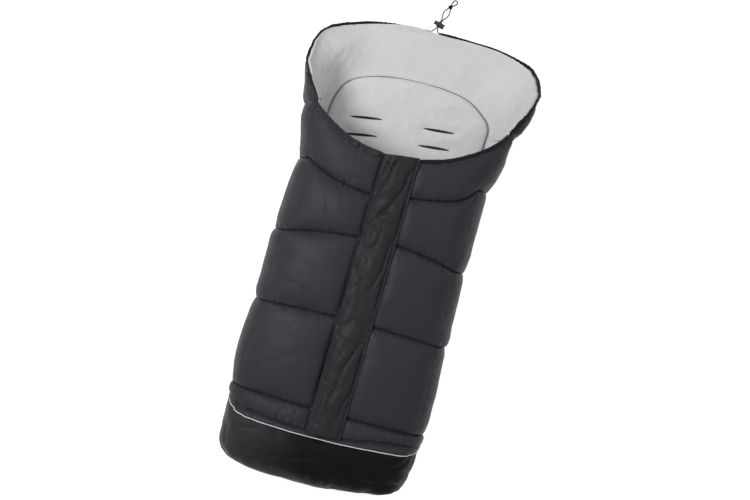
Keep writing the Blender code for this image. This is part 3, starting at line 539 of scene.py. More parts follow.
def stitches(name, lines):
    """Rows of short thread stitches that follow lines of points, each with its upward direction."""
    points, faces = [], []
    radius = thread_radius
    for line, lift in lines:
        count = max(int(length_of(line) / stitch_pitch), 1)
        dense = spaced(line, count * 4 + 1)
        for k in range(count):
            first, last = dense[4 * k], dense[4 * k + 3]
            along = (last - first) / np.linalg.norm(last - first)
            side = np.cross(along, lift)
            side /= np.linalg.norm(side)
            start = len(points)
            for share, wide, high in stitch_shares:
                centre = mix(first, last, share) + lift * radius * high
                points += [centre - side * radius * wide, centre + lift * radius * wide,
                           centre + side * radius * wide, centre - lift * radius * wide]
            faces += [[start + k for k in face] for face in closed_faces(4, 4)]
    return build(name, points, faces, thread)


def dress(piece, body, slot_name, *nodes):
    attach(piece, body)
    if nodes:
        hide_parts(*nodes)
    return piece


# Cloth

cloth_frames = 24
waiting = []


class Cloth:
    """A grid of points that air fills out as cloth, between the places that hold it."""

    def __init__(self, name, base, start, held, slack, pressure, stretch=60.0, bend=0.003,
                 limit=0.016, lean=0.0):
        self.base, self.points, self.limit = base, start, limit
        index = numbered(*start.shape[:2])
        mesh = bpy.data.meshes.new(name + "_cloth")
        faces = quads(index)
        n = np.cross(start[1, 0] - start[0, 0], start[0, 1] - start[0, 0])
        towards = normals(start, sack_axis(start))[0, 0]
        if np.dot(n, towards) < 0:
            faces = faces[:, ::-1]
        mesh.from_pydata(start.reshape(-1, 3).tolist(), [], faces.tolist())
        self.object = bpy.data.objects.new(name + "_cloth", mesh)
        bpy.context.scene.collection.objects.link(self.object)
        self.object.shape_key_add(name="Basis")
        cut = self.object.shape_key_add(name="cut")
        flat = [np.linalg.norm(np.diff(base, axis=k), axis=-1) for k in (1, 0)]
        slack_u, slack_v = (np.broadcast_to(s, index.shape) for s in slack)
        u = np.cumsum(np.pad(flat[0] * (1 + slack_u[:, 1:]), ((0, 0), (1, 0))), axis=1)
        v = np.cumsum(np.pad(flat[1] * (1 + slack_v[1:]), ((1, 0), (0, 0))), axis=0)
        layout = vec(u + lean * v, v, 0)
        cut.data.foreach_set("co", layout.reshape(-1).astype(np.float32))
        group = self.object.vertex_groups.new(name="held")
        group.add(index[held].reshape(-1).tolist(), 1.0, "REPLACE")
        cloth = self.object.modifiers.new("cloth", "CLOTH")
        settings = cloth.settings
        settings.vertex_group_mass = "held"
        settings.rest_shape_key = cut
        settings.mass = 0.01
        settings.quality = 4
        settings.tension_stiffness = stretch
        settings.compression_stiffness = stretch
        settings.shear_stiffness = stretch / 3
        settings.bending_stiffness = bend
        settings.use_pressure = True
        settings.uniform_pressure_force = pressure
        settings.effector_weights.gravity = 0
        settings.air_damping = 1
        cloth.collision_settings.use_collision = False
        cloth.point_cache.frame_start = 1
        cloth.point_cache.frame_end = cloth_frames
        waiting.append(self)

    def finish(self, depsgraph):
        mesh = self.object.evaluated_get(depsgraph).data
        found = np.empty(self.points.size, np.float32)
        mesh.vertices.foreach_get("co", found)
        move = found.reshape(self.points.shape).astype(float) - self.base
        far = np.linalg.norm(move, axis=-1, keepdims=True)
        soft = self.limit * np.tanh(far / self.limit)
        self.points = self.base + move * soft / np.maximum(far, 1e-9)


def run_cloths():
    """Step all the cloths together, keep their shapes and clear them away."""
    if not waiting:
        return
    scene = bpy.context.scene
    for number in range(1, cloth_frames + 1):
        scene.frame_set(number)
    depsgraph = bpy.context.evaluated_depsgraph_get()
    for cloth in waiting:
        cloth.finish(depsgraph)
    for cloth in waiting:
        bpy.data.objects.remove(cloth.object)
    scene.frame_set(1)


# Materials

class Shader:
    """A Principled material and a short way to add and wire its nodes."""

    def __init__(self, name, colour, roughness, metallic=0.0):
        self.material = bpy.data.materials.new(name)
        self.material.use_nodes = True
        self.tree = self.material.node_tree
        self.out = self.tree.nodes["Principled BSDF"]
        self.out.inputs["Base Color"].default_value = (*colour, 1)
        self.out.inputs["Roughness"].default_value = roughness
        self.out.inputs["Metallic"].default_value = metallic

    def add(self, kind, **values):
        node = self.tree.nodes.new(kind)
        for key, value in values.items():
            if hasattr(node, key):
                setattr(node, key, value)
            else:
                self.wire(value, node.inputs[key.replace("_", " ")])
        return node

    def wire(self, value, socket):
        if isinstance(value, bpy.types.NodeSocket):
            self.tree.links.new(value, socket)
        else:
            socket.default_value = value

    def place(self, kind="Object"):
        return self.add("ShaderNodeTexCoord").outputs[kind]

    def noise(self, scale, detail=3.0, roughness=0.55, vector=None):
        node = self.add("ShaderNodeTexNoise", Scale=scale, Detail=detail, Roughness=roughness)
        self.wire(vector or self.place(), node.inputs["Vector"])
        return node.outputs["Fac"]

    def ramp(self, value, low, high, out_low, out_high):
        node = self.add("ShaderNodeMapRange")
        self.wire(value, node.inputs["Value"])
        for name, number in (("From Min", low), ("From Max", high), ("To Min", out_low),
                             ("To Max", out_high)):
            node.inputs[name].default_value = number
        return node.outputs["Result"]

    def colours(self, value, first, second):
        node = self.add("ShaderNodeMix", data_type="RGBA")
        self.wire(value, node.inputs["Factor"])
        node.inputs[6].default_value = (*first, 1)
        node.inputs[7].default_value = (*second, 1)
        return node.outputs[2]

    def math(self, operation, a, b=0.0):
        node = self.add("ShaderNodeMath", operation=operation)
        self.wire(a, node.inputs[0])
        self.wire(b, node.inputs[1])
        return node.outputs[0]

    def bump(self, height, distance, strength=1.0):
        node = self.add("ShaderNodeBump", Strength=strength, Distance=distance)
        self.wire(height, node.inputs["Height"])
        before = self.out.inputs["Normal"].links
        if before:
            self.wire(before[0].from_socket, node.inputs["Normal"])
        self.wire(node.outputs["Normal"], self.out.inputs["Normal"])

    def set(self, name, value):
        self.wire(value, self.out.inputs[name])


def shade(colour, share):
    return tuple(c * share for c in colour)


def nylon(name, colour, gloss, crinkle=0.0006, painted_light_colour=None):
    """Matt woven nylon: fine weave, small crinkles, a soft sheen; a painted highlight paler to the
    left.
    """
    s = Shader(name, colour, 0.41)
    cloudy = s.noise(9.0, 4.0)
    cloth = s.colours(cloudy, shade(colour, 0.86), shade(colour, 1.15))
    if painted_light_colour:
        # Painted highlight: the colour turns paler towards -X, standing in for the light falling
        # from the left.
        apart = s.add("ShaderNodeSeparateXYZ", Vector=s.place())
        painted_light_reach = s.math("ADD", apart.outputs["X"], s.math("MULTIPLY", cloudy, 0.05))
        blend = s.add("ShaderNodeMix", data_type="RGBA")
        s.wire(s.ramp(painted_light_reach, -0.17, 0.0, 1.0, 0.0), blend.inputs["Factor"])
        s.wire(cloth, blend.inputs[6])
        blend.inputs[7].default_value = (*painted_light_colour, 1)
        cloth = blend.outputs[2]
    s.set("Base Color", cloth)
    s.set("Roughness", s.ramp(s.noise(30.0), 0.3, 0.7, 0.37, 0.46))
    s.set("Sheen Weight", 0.02)
    s.set("Sheen Roughness", 0.45)
    s.set("Specular IOR Level", gloss)
    weave = s.place("UV")
    threads = [s.add("ShaderNodeTexWave", wave_type="BANDS", bands_direction=direction,
                     Scale=450.0, Vector=weave).outputs["Fac"] for direction in ("X", "Y")]
    s.bump(s.math("MULTIPLY", *threads), 0.00012, 0.5)
    s.bump(s.noise(75.0, 4.0), crinkle, 0.55)
    s.bump(s.noise(22.0, 3.0), crinkle * 2.5, 0.45)
    return s.material


def fleece(name, colour):
    """Short-pile fleece: soft clumps, fine fibres and a bright sheen at grazing angles."""
    s = Shader(name, colour, 0.95)
    mottle = s.noise(20.0, 6.0, 0.65)
    dark = (colour[0] * 0.93, colour[1] * 0.925, colour[2] * 0.935)
    light = (colour[0] * 1.07, colour[1] * 1.07, colour[2] * 1.055)
    s.set("Base Color", s.colours(mottle, dark, light))
    s.set("Sheen Weight", 0.45)
    s.set("Sheen Roughness", 0.5)
    s.set("Specular IOR Level", 0.15)
    s.bump(s.noise(900.0, 3.0, 0.7), 0.0006, 0.5)
    s.bump(s.noise(260.0, 4.0, 0.65), 0.0013, 0.6)
    s.bump(s.noise(48.0, 4.0, 0.6), 0.0026, 0.5)
    return s.material


def plain(name, colour, roughness, metallic=0.0, grain=180.0, depth=0.00015):
    """Moulded plastic or cast metal with a fine grain and slightly uneven gloss."""
    s = Shader(name, colour, roughness, metallic)
    s.set("Roughness", s.ramp(s.noise(grain / 2), 0.3, 0.7, roughness * 0.85, roughness * 1.15))
    s.set("Base Color", s.colours(s.noise(grain / 4), shade(colour, 0.85), shade(colour, 1.15)))
    s.bump(s.noise(grain * 4), depth, 0.4)
    return s.material


def braid(name, colour):
    """Braided round cord."""
    s = Shader(name, colour, 0.7)
    fine = s.noise(1500.0, 2.0)
    s.set("Base Color", s.colours(fine, shade(colour, 0.7), shade(colour, 1.6)))
    s.bump(s.noise(1100.0, 1.0), 0.0003, 0.8)
    s.set("Specular IOR Level", 0.1)
    return s.material


shell_material = nylon("shell_nylon", (0.0265, 0.0265, 0.0325), 0.11)
# The side strips' nylon is the shell nylon painted darker: painted shade against the light they
# catch at the sides.
shaded_side_material = nylon("shaded_side_nylon", (0.0205, 0.0205, 0.0248), 0.08)
flap_material = nylon("flap_nylon", (0.0205, 0.0206, 0.0238), 0.10, 0.0007)
# Dark trim nylon: the rim casings' own dark colour, and painted shade on the right lip's hem.
trim_and_shade_material = nylon("trim_and_shade_nylon", (0.0115, 0.0115, 0.0135), 0.07)
# The foot cap's paler colour to the left is painted highlight for the light from the left.
cap_material = nylon("foot_nylon", (0.0045, 0.0045, 0.0050), 0.06, 0.0007,
                     painted_light_colour=(0.0310, 0.0313, 0.0335))
thread = braid("thread", (0.008, 0.008, 0.009))
# Grey thread for the pad's seam, darker than the fleece as painted shade along the seam.
seam_shade_thread = braid("grey_seam_shade_thread", (0.16, 0.16, 0.155))
fleece_material = fleece("fleece", (0.60, 0.595, 0.59))
pad_material = fleece("pad_fleece", (0.61, 0.60, 0.595))
plastic = plain("black_plastic", (0.012, 0.012, 0.013), 0.38)
cord_material = braid("black_cord", (0.005, 0.005, 0.0055))
metal = plain("zip_metal", (0.05, 0.05, 0.052), 0.34, 0.8)
steel = plain("spring_steel", (0.55, 0.55, 0.56), 0.25, 1.0)
reflector = plain("reflective_tape", (0.56, 0.57, 0.59), 0.35, 0.0, 600.0)
hook_tape = plain("hook_tape", (0.015, 0.015, 0.016), 0.7, 0.0, 300.0, 0.0006)


# Camera, lights and floor

def add_object(name, data):
    thing = bpy.data.objects.new(name, data)
    bpy.context.scene.collection.objects.link(thing)
    return thing


def make_camera():
    data = bpy.data.cameras.new("camera")
    data.sensor_width = sensor
    data.lens = sensor * (camera_height - mean_front_height) / metres_wide
    camera = add_object("camera", data)
    camera.location = (*camera_aim, camera_height)
    camera.rotation_euler = (0, 0, camera_roll)
    bpy.context.scene.camera = camera


def area_light(name, place, aim, size, power):
    data = bpy.data.lights.new(name, "AREA")
    data.shape = "DISK"
    data.size = size
    data.energy = power
    lamp = add_object(name, data)
    lamp.location = place
    lamp.rotation_mode = "QUATERNION"
    lamp.rotation_quaternion = (Vector(aim) - Vector(place)).to_track_quat("-Z", "Y")


def seen_straight(tree):
    """1 where the camera, a mirror or glass looks straight at it, and 0 elsewhere."""
    path = tree.nodes.new("ShaderNodeLightPath")
    value = path.outputs["Is Camera Ray"]
    for ray in ("Is Glossy Ray", "Is Transmission Ray"):
        either = tree.nodes.new("ShaderNodeMath")
        either.operation = "MAXIMUM"
        tree.links.new(value, either.inputs[0])
        tree.links.new(path.outputs[ray], either.inputs[1])
        value = either.outputs[0]
    return value


def make_stage():
    world = bpy.data.worlds.new("studio")
    world.use_nodes = True
    bpy.context.scene.world = world
    tree = world.node_tree
    plain_light = tree.nodes["Background"]
    plain_light.inputs["Color"].default_value = (1, 1, 1, 1)
    plain_light.inputs["Strength"].default_value = world_strength
    white = tree.nodes.new("ShaderNodeBackground")
    white.inputs["Strength"].default_value = 1.0
    blend = tree.nodes.new("ShaderNodeMixShader")
    tree.links.new(seen_straight(tree), blend.inputs["Fac"])
    tree.links.new(plain_light.outputs[0], blend.inputs[1])
    tree.links.new(white.outputs[0], blend.inputs[2])
    tree.links.new(blend.outputs[0], tree.nodes["World Output"].inputs["Surface"])

    mesh = bpy.data.meshes.new("floor")
    corners = ((-1, -1), (1, -1), (1, 1), (-1, 1))
    mesh.from_pydata([(x * floor_reach, y * floor_reach, -floor_drop) for x, y in corners], [],
                     [(0, 1, 2, 3)])
    s = Shader("floor", (0.42, 0.42, 0.42), 0.9)
    s.set("Specular IOR Level", 0.1)
    glow = s.add("ShaderNodeEmission",
                 Strength=s.math("MULTIPLY", seen_straight(s.tree), floor_glow))
    both = s.add("ShaderNodeAddShader")
    s.tree.links.new(s.out.outputs[0], both.inputs[0])
    s.tree.links.new(glow.outputs[0], both.inputs[1])
    s.tree.links.new(both.outputs[0], s.tree.nodes["Material Output"].inputs["Surface"])
    floor = link("floor", mesh, s.material)

    area_light("key", (-1.25, 0.15, 1.85), (0, 0.05, 0.1), 0.75, 29)
    area_light("fill", (1.3, 0.75, 1.95), (0, 0.1, 0.1), 1.6, 10)
    bpy.context.scene.view_settings.view_transform = "Standard"


# Soft pieces

def quilt_line(k, share, side):
    """The y of a seam; share 0 at the side seam, 1 at the zip. The lip rises late on the right."""
    at_side, at_centre = quilt_lines[k]
    at_side = at_side + quilt_side_steps[side > 0][k]
    away = 1 - np.asarray(share, float)
    if k == len(quilt_lines) - 2 and side > 0:
        bend = 0.107 + 0.232 * away ** 2.4 + 0.464 * away ** 14
    elif k < len(quilt_lines) - 1:
        bend = away ** 2
    elif side < 0:
        bend = 0.2 * away + 0.8 * away ** 2.8
    else:
        bend = 0.16 * away + 0.84 * away ** 4.2
    return mix(at_centre, at_side, bend)


cell_rows = (24, 60, 54, 46, 40)
front_columns = 74


def down_cells(share, lift, side):
    """Down the quilted cells at these shares: y, the puff, and the rows of the seams."""
    share = np.asarray(share, float)
    first = (lift, 0, 0, 0, 0, 0)
    y, puff, seams, count = [], [], [0], 0
    for k, rows in enumerate(cell_rows):
        last = k == len(cell_rows) - 1
        f = np.linspace(0, 1, rows + last, endpoint=last)[:, None]
        f = mix(f, 0.5 - 0.5 * np.cos(pi * f), 0.45)
        y.append(mix(quilt_line(k, share, side) + first[k],
                     quilt_line(k + 1, share, side) + first[k + 1], f))
        puff.append(puff_shares[k] * (1 - np.abs(2 * f - 1) ** 2.6) * np.ones_like(share))
        count += rows
        seams.append(count)
    return np.concatenate(y), np.concatenate(puff), seams


def seam_distance(points, seams):
    """Distance along each column of the grid to its nearest seam row."""
    gone = arc_lengths(points, 0)
    return np.min([np.abs(gone - gone[row]) for row in seams], axis=0)


def seam_profile(points, away, depth):
    """How far each point sinks towards its nearest seam, none at the first and last row."""
    gone = arc_lengths(points, 0)
    ends = np.minimum(gone - gone[:1], gone[-1:] - gone)
    return depth * (0.6 * np.exp(-away / 0.0024) + 0.4 * np.exp(-away / 0.008)) * ease(ends / 0.012)


def held_at(grid, rows):
    """Marks these rows of a grid, and its first and last column."""
    held = np.zeros(grid.shape[:2], bool)
    held[rows] = held[:, 0] = held[:, -1] = True
    return held


def front_cloth(side, label):
    """One quilted half of the front, from the side seam to the zip, set up as cloth."""
    share = np.linspace(0, 1, front_columns)
    seam_x = body_half_width - side_seam_inset
    across_share = share * (1 - zip_groove / seam_x)
    rough_x = side * mix(seam_x, zip_groove, share)
    lift = smooth_table(rough_x, seam_places, seam_lifts)
    y, puff, seams = down_cells(across_share, lift, side)
    x = mix(rails(y)[3][..., 0], zip_groove, share)
    w = w_at(y, x)
    base = section(y, w if side > 0 else 6 - w)
    base = push(base, side_fill(y, w, side))
    away = seam_distance(base, seams)
    reach = x - (placket_right if side > 0 else -placket_left) - 0.0005
    free = ease(reach / 0.0035)
    fade = mix(0.45, 1, ease(share / 0.2)) * ease(reach / (0.013 if side > 0 else 0.019))
    base = push(base, -seam_profile(base, away, seam_sink) * free)
    wide = ripple(base, 0.08, 9 + side)
    height = quilt_rise * puff * fade * (0.75 + 0.1 * wide)
    height += 0.0005 * ripple(base * np.array((1.0, 0.3, 1.0)), 0.017, 5 + side) * free
    edge = 0.0035 * puff[:, 0]
    start = push(base, np.maximum(height, edge[:, None] * (1 - ease(share / 0.05))))
    held = held_at(base, seams)
    held |= reach <= 0
    gather = 0.12 * np.exp(-away / 0.016) * (0.7 + 0.5 * ripple(base, 0.045, 14 + side))
    slack_u = 0.010 + gather + 0.010 * ripple(base, 0.08, 16 + side)
    slack_v = 0.020 + 0.012 * ripple(base, 0.06, 18 + side)
    cloth = Cloth(f"front_{label}", base, start, held, (slack_u, slack_v), 300.0, 40.0, 0.0015)
    return side, label, base, away, reach, seams, cloth


def seam_folds(points, away, long_way, seed, reach=0.014):
    """Short puckers that stand on the seams and fade out into the cell."""
    patchy = 0.55 + 0.45 * ripple(points, 0.07, seed + 100)
    small = folds(points, 1 / np.asarray(long_way), seed) - 0.45
    return small * np.exp(-away / reach) * ease(away / 0.003) * np.clip(patchy, 0.1, 1.2)


def finish_front(side, label, base, away, reach, seams, cloth):
    out = normals(base, sack_axis(base))
    free = ease(reach / 0.0035)
    gone = arc_lengths(base, 0)
    from_lip, from_foot = gone[-1:] - gone, gone - gone[:1]
    crease = 0.0044 * seam_folds(base, away, (0.018, 0.075, 0.03), 51 + side, 0.011)
    crease += 0.0024 * seam_folds(base, away, (0.009, 0.04, 0.02), 61 + side, 0.006)
    strong = 0.0038 + 0.0034 * ease((base[..., 0] - 0.08) / 0.06)
    crease += strong * seam_folds(base, from_foot, (0.017, 0.08, 0.03), 55 + side, 0.016)
    crease += (0.0024 if side < 0 else 0.0012) * seam_folds(base, from_lip, (0.02, 0.07, 0.03),
                                                            57 + side, 0.013)
    broad = 0.0010 * (folds(base, (1 / 0.11, 1 / 0.07, 1 / 0.1), 59 + side) - 0.6)
    shift = crease + broad * ease(away / 0.02)
    shift -= 0.0020 * np.exp(-from_lip / 0.004)
    shift -= 0.0050 * np.exp(-from_foot / 0.0027)
    if side > 0:
        hem = mix(0.004, 0.021, ease((base[..., 0] - 0.05) / 0.13))
        shift -= 0.0026 * np.exp(-np.abs(from_lip - hem) / 0.0020)
    at_side = ease(np.linspace(0, 1, front_columns) / 0.08)
    shift = shift * free
    shift -= (0.0056 if side < 0 else 0.0024) * np.exp(-np.maximum(reach, 0) / 0.005) * ease(
        (reach + 0.004) / (0.004 if side < 0 else 0.0075))
    points = cloth.points + out * (shift * at_side)[..., None]
    outer = settle(points)
    inner = settle(base - out * shell_wall)
    piece = slab(f"front_{label}_quilt", outer, inner, shell_material)
    dress(piece, "sack", "shell_nylon", f"front_{label}_panel")
    deep = settle(base - out * (shell_wall + fleece_wall))
    piece = slab(f"front_{label}_fleece", inner[2:-3, :-4], deep[2:-3, :-4], fleece_material)
    dress(piece, "sack", "fleece", f"front_{label}_lining")
    lines = []
    up = normals(outer, sack_axis(outer))
    keep = reach[0] > -0.004
    for row in seams[1:-1]:
        lift = up[row, keep].mean(axis=0)
        lines.append((outer[row, keep] + lift * 0.0002, lift / np.linalg.norm(lift)))
    piece = stitches(f"front_{label}_stitches", lines)
    dress(piece, "sack", "shell_nylon")
    return outer


def gusset_cloth(side, label):
    """The padded side strip between back and front."""
    v = np.linspace(0, 1, 44)
    lift = side_lift(seam_places, seam_lifts, np.full_like(v, side * 0.19), v * 0.999)
    y, puff, seams = down_cells(np.zeros_like(v), lift, side)
    base = section(y, 1 + v if side > 0 else 5 - v)
    base = push(base, side_fill(y, 1 + v, side))
    away = seam_distance(base, seams)
    depth = mix(0.0024, seam_sink, ease((v - 0.6) / 0.4))
    base = push(base, -seam_profile(base, away, depth) * ease(v / 0.2))
    rise = mix(ease((1 - v) / 0.25), 1, 0.45)
    height = gusset_rise * puff * ease(v / 0.4) * rise * 0.8
    edge = 0.0035 * puff[:, -1]
    height = mix(height, edge[:, None], ease((v - 0.93) / 0.07))
    start = push(base, height + 0.0004 * ripple(base, 0.018, 20 + side) * (v < 1))
    held = held_at(base, seams)
    gather = 0.09 * np.exp(-away / 0.016) * (0.7 + 0.5 * ripple(base, 0.045, 24 + side))
    slack = (0.01 + gather, 0.016 + 0.010 * ripple(base, 0.07, 28 + side))
    cloth = Cloth(f"side_{label}", base, start, held, slack, 220.0, 40.0, 0.0015)
    return side, label, base, away, cloth


def finish_gusset(edge, side, label, base, away, cloth):
    out = normals(base, sack_axis(base))
    v = np.linspace(0, 1, base.shape[1])
    crease = 0.0018 * seam_folds(base, away, (0.05, 0.07, 0.022), 65 + side)
    points = cloth.points + out * (crease * ease((1 - v) / 0.1))[..., None]
    outer = settle(points)
    outer += (edge - outer[:, -1])[:, None] * ease((v - 0.7) / 0.3)[None, :, None]
    inner = settle(base - out * shell_wall)
    piece = slab(f"side_{label}_nylon", outer, inner, shaded_side_material)
    dress(piece, "sack", "shell_nylon", f"side_{label}_shell")
    piece = slab(f"side_{label}_fleece", inner, settle(base - out * (shell_wall + fleece_wall)),
                 fleece_material)
    dress(piece, "sack", "fleece", f"side_{label}_lining")


def hood_cloth():
    q = np.linspace(0, pi, 250)[:, None]
    v = np.linspace(0, 1, 54)
    base = hood(q, v)
    lap = hood_start_y - 0.004
    base = np.concatenate([section(lap, 1 + v)[None], base, section(lap, 5 - v)[None]])
    q = np.concatenate([q[:1], q, q[-1:]])
    sides = ease(1 - np.sin(q) / 0.3)
    fill = mix(smooth_table(np.array(0.262), fill_places, fill_left),
               smooth_table(np.array(0.262), fill_places, fill_right), q < pi / 2)
    base = push(base, sides * fill * ease(v / 0.35) * ease((1.45 - v) / 0.55) + 0.0006 * sides)
    height = 0.004 * (1 - np.abs(2 * v - 1) ** 2.2) * (1 + 0.3 * ripple(base, 0.1, 33))
    right = ease(q / 0.08) * ease((0.60 - q) / 0.30)
    left = ease((pi - q) / 0.08) * ease((q - pi + 0.60) / 0.30)
    height = height + (0.0060 * right + 0.0035 * left) * ease((v - 0.25) / 0.4) * ease(
        (1.0 - v) / 0.12)
    start = push(base, height + 0.0004 * ripple(base, 0.02, 34))
    held = held_at(base, [0, -1])
    rim = ease((v - 0.55) / 0.45)
    slack_v = 0.012 + 0.06 * rim + 0.008 * ripple(base, 0.06, 35)
    cloth = Cloth("hood", base, start, held, (0.012, slack_v), 160.0)
    return q, v, base, cloth


def finish_hood(q, v, base, cloth):
    out = normals(base, sack_axis(base))
    points = cloth.points
    piece = slab("hood_nylon", settle(points), settle(points - out * hood_wall), shell_material)
    dress(piece, "sack", "shell_nylon", "hood_shell")
    depth = mix(shell_wall * np.ones_like(v), rim_to_fleece, ease((v - 0.75) / 0.25))
    inner = base - out * np.broadcast_to(depth, base.shape[:2])[..., None]
    clumps = ripple(inner, 0.10, 35) * 0.0012 + ripple(inner, 0.030, 36) * 0.0004
    beside = ease((np.abs(np.cos(q)) - 0.45) / 0.4) * np.where(q > pi / 2, 0.015, 0.005)
    swell = (0.004 + beside) * ease(v / 0.45) * ease((1 - v) / 0.40)
    inner = inner - out * ((clumps + swell) * ease(v / 0.06))[..., None]
    roll = np.exp(-((q - 1.78) / 0.17) ** 2) * ease((v - 0.90) / 0.10)
    inner = inner + roll[..., None] * np.array((0, 0.0045, 0.0075))
    piece = slab("hood_fleece", settle(inner), settle(inner - out * fleece_wall),
                 fleece_material)
    dress(piece, "sack", "fleece", "hood_lining")


casing_rings = 380


def casing(side, label, last_x):
    """The gathered nylon tube round the rim, and the cord hidden in it."""
    q = np.linspace(0.03, pi / 2, 420)
    q = q if side > 0 else pi - q
    wide = smooth_table(q, casing_turns, casing_radii)
    rim = settle(hood(q, np.ones_like(q)))
    before = settle(hood(q, np.full_like(q, 0.97)))
    path = rim + unit(rim - before) * wide[:, None]
    path[:, 2] = np.maximum(path[:, 2], wide + 0.0010)
    keep = path[:, 0] * side > last_x * side
    keep |= path[:, 1] < hood_start_y + 0.1
    number = np.arange(casing_rings)
    wide = np.interp(np.linspace(0, 1, casing_rings), np.linspace(0, 1, keep.sum()), wide[keep])
    path = spaced(path[keep], casing_rings)
    sides = 14
    angles = round_angles(sides)
    around = path[:, None] + vec(0 * angles, 0.004 * np.cos(angles), 0.004 * np.sin(angles))
    radius = wide[:, None] * (0.93 + 0.10 * ripple(path, 0.009, 60 + side)[:, None] +
                              0.07 * ripple(around, 0.006, 62 + side))
    radius *= np.clip((number[::-1] + 2) / 6, 0.5, 1)[:, None]
    radius *= mix(0.35, 1.0, ease(number / 34))[:, None]
    piece = tube(f"rim_casing_{label}_cloth", path, radius, sides, trim_and_shade_material)
    dress(piece, "sack", "shell_nylon", f"rim_casing_{label}")
    piece = tube(f"casing_cord_{label}", path[4:-1:4], cord_radius, 8, cord_material)
    dress(piece, "sack", "black_cord")


def make_spring():
    """The lock's spring: it shortens towards the barrel's floor as the plunger goes in."""
    t = np.linspace(0, 1, 90)
    low, high = spring_reach
    place = mix(low + spring_wire, high - spring_wire, ease(t) * 0.25 + t * 0.75)
    ring = (vec(0, 0, np.cos(6 * pi * t)) + forward * np.sin(6 * pi * t)[:, None]) * spring_radius
    coil = lock_centre + across * place[:, None] + ring
    piece = tube("lock_spring_coil", coil, spring_wire, 8, steel, round_end=False)
    dress(piece, "cord_lock", "spring_steel", "cord_lock_spring")
    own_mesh(piece)
    return piece


def make_cords():
    """The two free strands through the lock to the knot, and the loop beyond it."""
    knot = lock_centre + forward * knot_along
    knot[2] = knot_height
    for side, label, start in both_sides:
        start = np.array(start)
        leave = np.array((-side, 0.25, 0.0)) / 1.03
        strand = across * side * cord_spacing / 2
        port = lock_centre + strand - forward * (lock_radius + 0.0012)
        beyond = lock_centre + strand + forward * (lock_radius + 0.0056)
        near = knot + across * side * 0.0012 - forward * 0.0024
        corners = [start, start + leave * 0.0022 + np.array((0, 0.0004, -0.0003)),
                   mix(start + leave * 0.0045, port, 0.55) + np.array((0, 0.0004, 0)), port,
                   lock_centre + strand, beyond]
        line = cord_line(corners, 30)
        piece = tube(f"cord_{label}", line, cord_radius, 10, cord_material)
        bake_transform(piece)
        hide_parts(f"drawstring_{label}")
        slide_end = lock_centre + strand + forward * slide_room
        bowed = [mix(beyond, slide_end, share) + across * side * apart
                 for share, apart in ((0.12, 0.0008), (0.36, 0.0033), (0.62, 0.0047),
                                      (0.84, 0.0040), (1.0, 0.0023))]
        line = cord_line([lock_centre + strand, beyond, *bowed, near], 40)
        piece = tube(f"cord_{label}_bow", line, cord_radius, 10, cord_material)
        dress(piece, "sack", "black_cord", f"drawstring_{label}")
        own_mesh(piece)
    bow = [(0.0011, 0.0022), (0.0023, 0.0055), (0.0036, 0.0095)]
    centre_along = loop_reach - loop_half_width
    turn = [(loop_half_width * cos(a), centre_along + loop_half_width * sin(a))
            for a in np.linspace(0, pi, 9)]
    outline = bow + turn + [(-half, place) for half, place in reversed(bow)]
    ahead = forward * cos(loop_turn) + across * sin(loop_turn)
    beside = across * cos(loop_turn) - forward * sin(loop_turn)
    corners = [knot + beside * half + ahead * place for half, place in outline]
    for point, (half, place) in zip(corners, outline):
        point[2] = mix(knot_height, cord_radius + 0.0002, ease(place / 0.014))
    loop_line = cord_line(corners, 60)
    loop = tube("cord_loop", loop_line, cord_radius, 10, cord_material)
    dress(loop, "sack", "black_cord", "drawstring_tail")

    t = np.linspace(0, 2 * pi, 72)
    size = 0.00118
    twist = vec(np.sin(t) + 2 * np.sin(2 * t), 2 * np.cos(2 * t) - np.cos(t), -np.sin(3 * t))
    twist = (twist[:, :1] * across + twist[:, 1:2] * forward) * size + \
        twist[:, 2:] * np.array((0, 0, 0.0011))
    tie = tube("cord_knot", knot + twist, cord_radius * 1.2, 10, cord_material)
    dress(tie, "sack", "black_cord")
    lock = [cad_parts[name] for name in ("cord_lock_body", "cord_lock_plunger")]
    lock.append(make_spring())


# Flap over the zip, the strip behind it and the lip's hem

line_turn = atan2(lip_height - foot_height, lip_y - foot_seam_y)
zip_long = float(np.hypot(lip_height - foot_height, lip_y - foot_seam_y))
line_origin = np.array((0, lip_y, lip_height))
line_along = np.array((0, cos(line_turn), sin(line_turn)))
line_up = np.array((0, -sin(line_turn), cos(line_turn)))


def from_line(x, y, z):
    """World points from the zip line's own frame."""
    p = vec(x, y, z)
    return (line_origin + p[..., :1] * np.array((1.0, 0, 0)) + p[..., 1:2] * line_along +
            p[..., 2:] * line_up)


placket_rows = 236
placket_columns = 38


def placket_cloth():
    u = np.linspace(0, 1, placket_columns)
    v = np.linspace(0, 1, placket_rows)[:, None]
    x = mix(placket_left, placket_right, u)
    hem = 0.0040 / (placket_right - placket_left)
    y = mix(mix(0.001, 0.011, u), -zip_long + 0.0060, v)
    low = placket_clear + placket_edge
    dome = 0.0098 * ease(u / 0.28 + 0.06) * ease((1 - u) / 0.62) * (1 + 0 * v)
    base = from_line(x, y, low + dome)
    draw = ripple(base * np.array((1.0, 0.8, 1.0)), 0.035, 71)
    start = base + line_up * (0.002 * ease(u / 0.2) * ease((1 - hem - u) / 0.2) *
                              (1 + 0.5 * draw))[..., None]
    rim = np.argmin(np.abs(u - (1 - hem)))
    held = held_at(base, [0, -1])
    held[:, 1] = held[:, rim:] = True
    slack_u = 0.030 + 0.020 * ripple(base, 0.05, 73)
    slack_v = 0.060 + 0.050 * ripple(base, 0.045, 74)
    cloth = Cloth("placket", base, start, held, (slack_u, slack_v), 60.0, 40.0, 0.001,
                  0.0075, lean=0.16)
    return u, v, x, y, rim, cloth


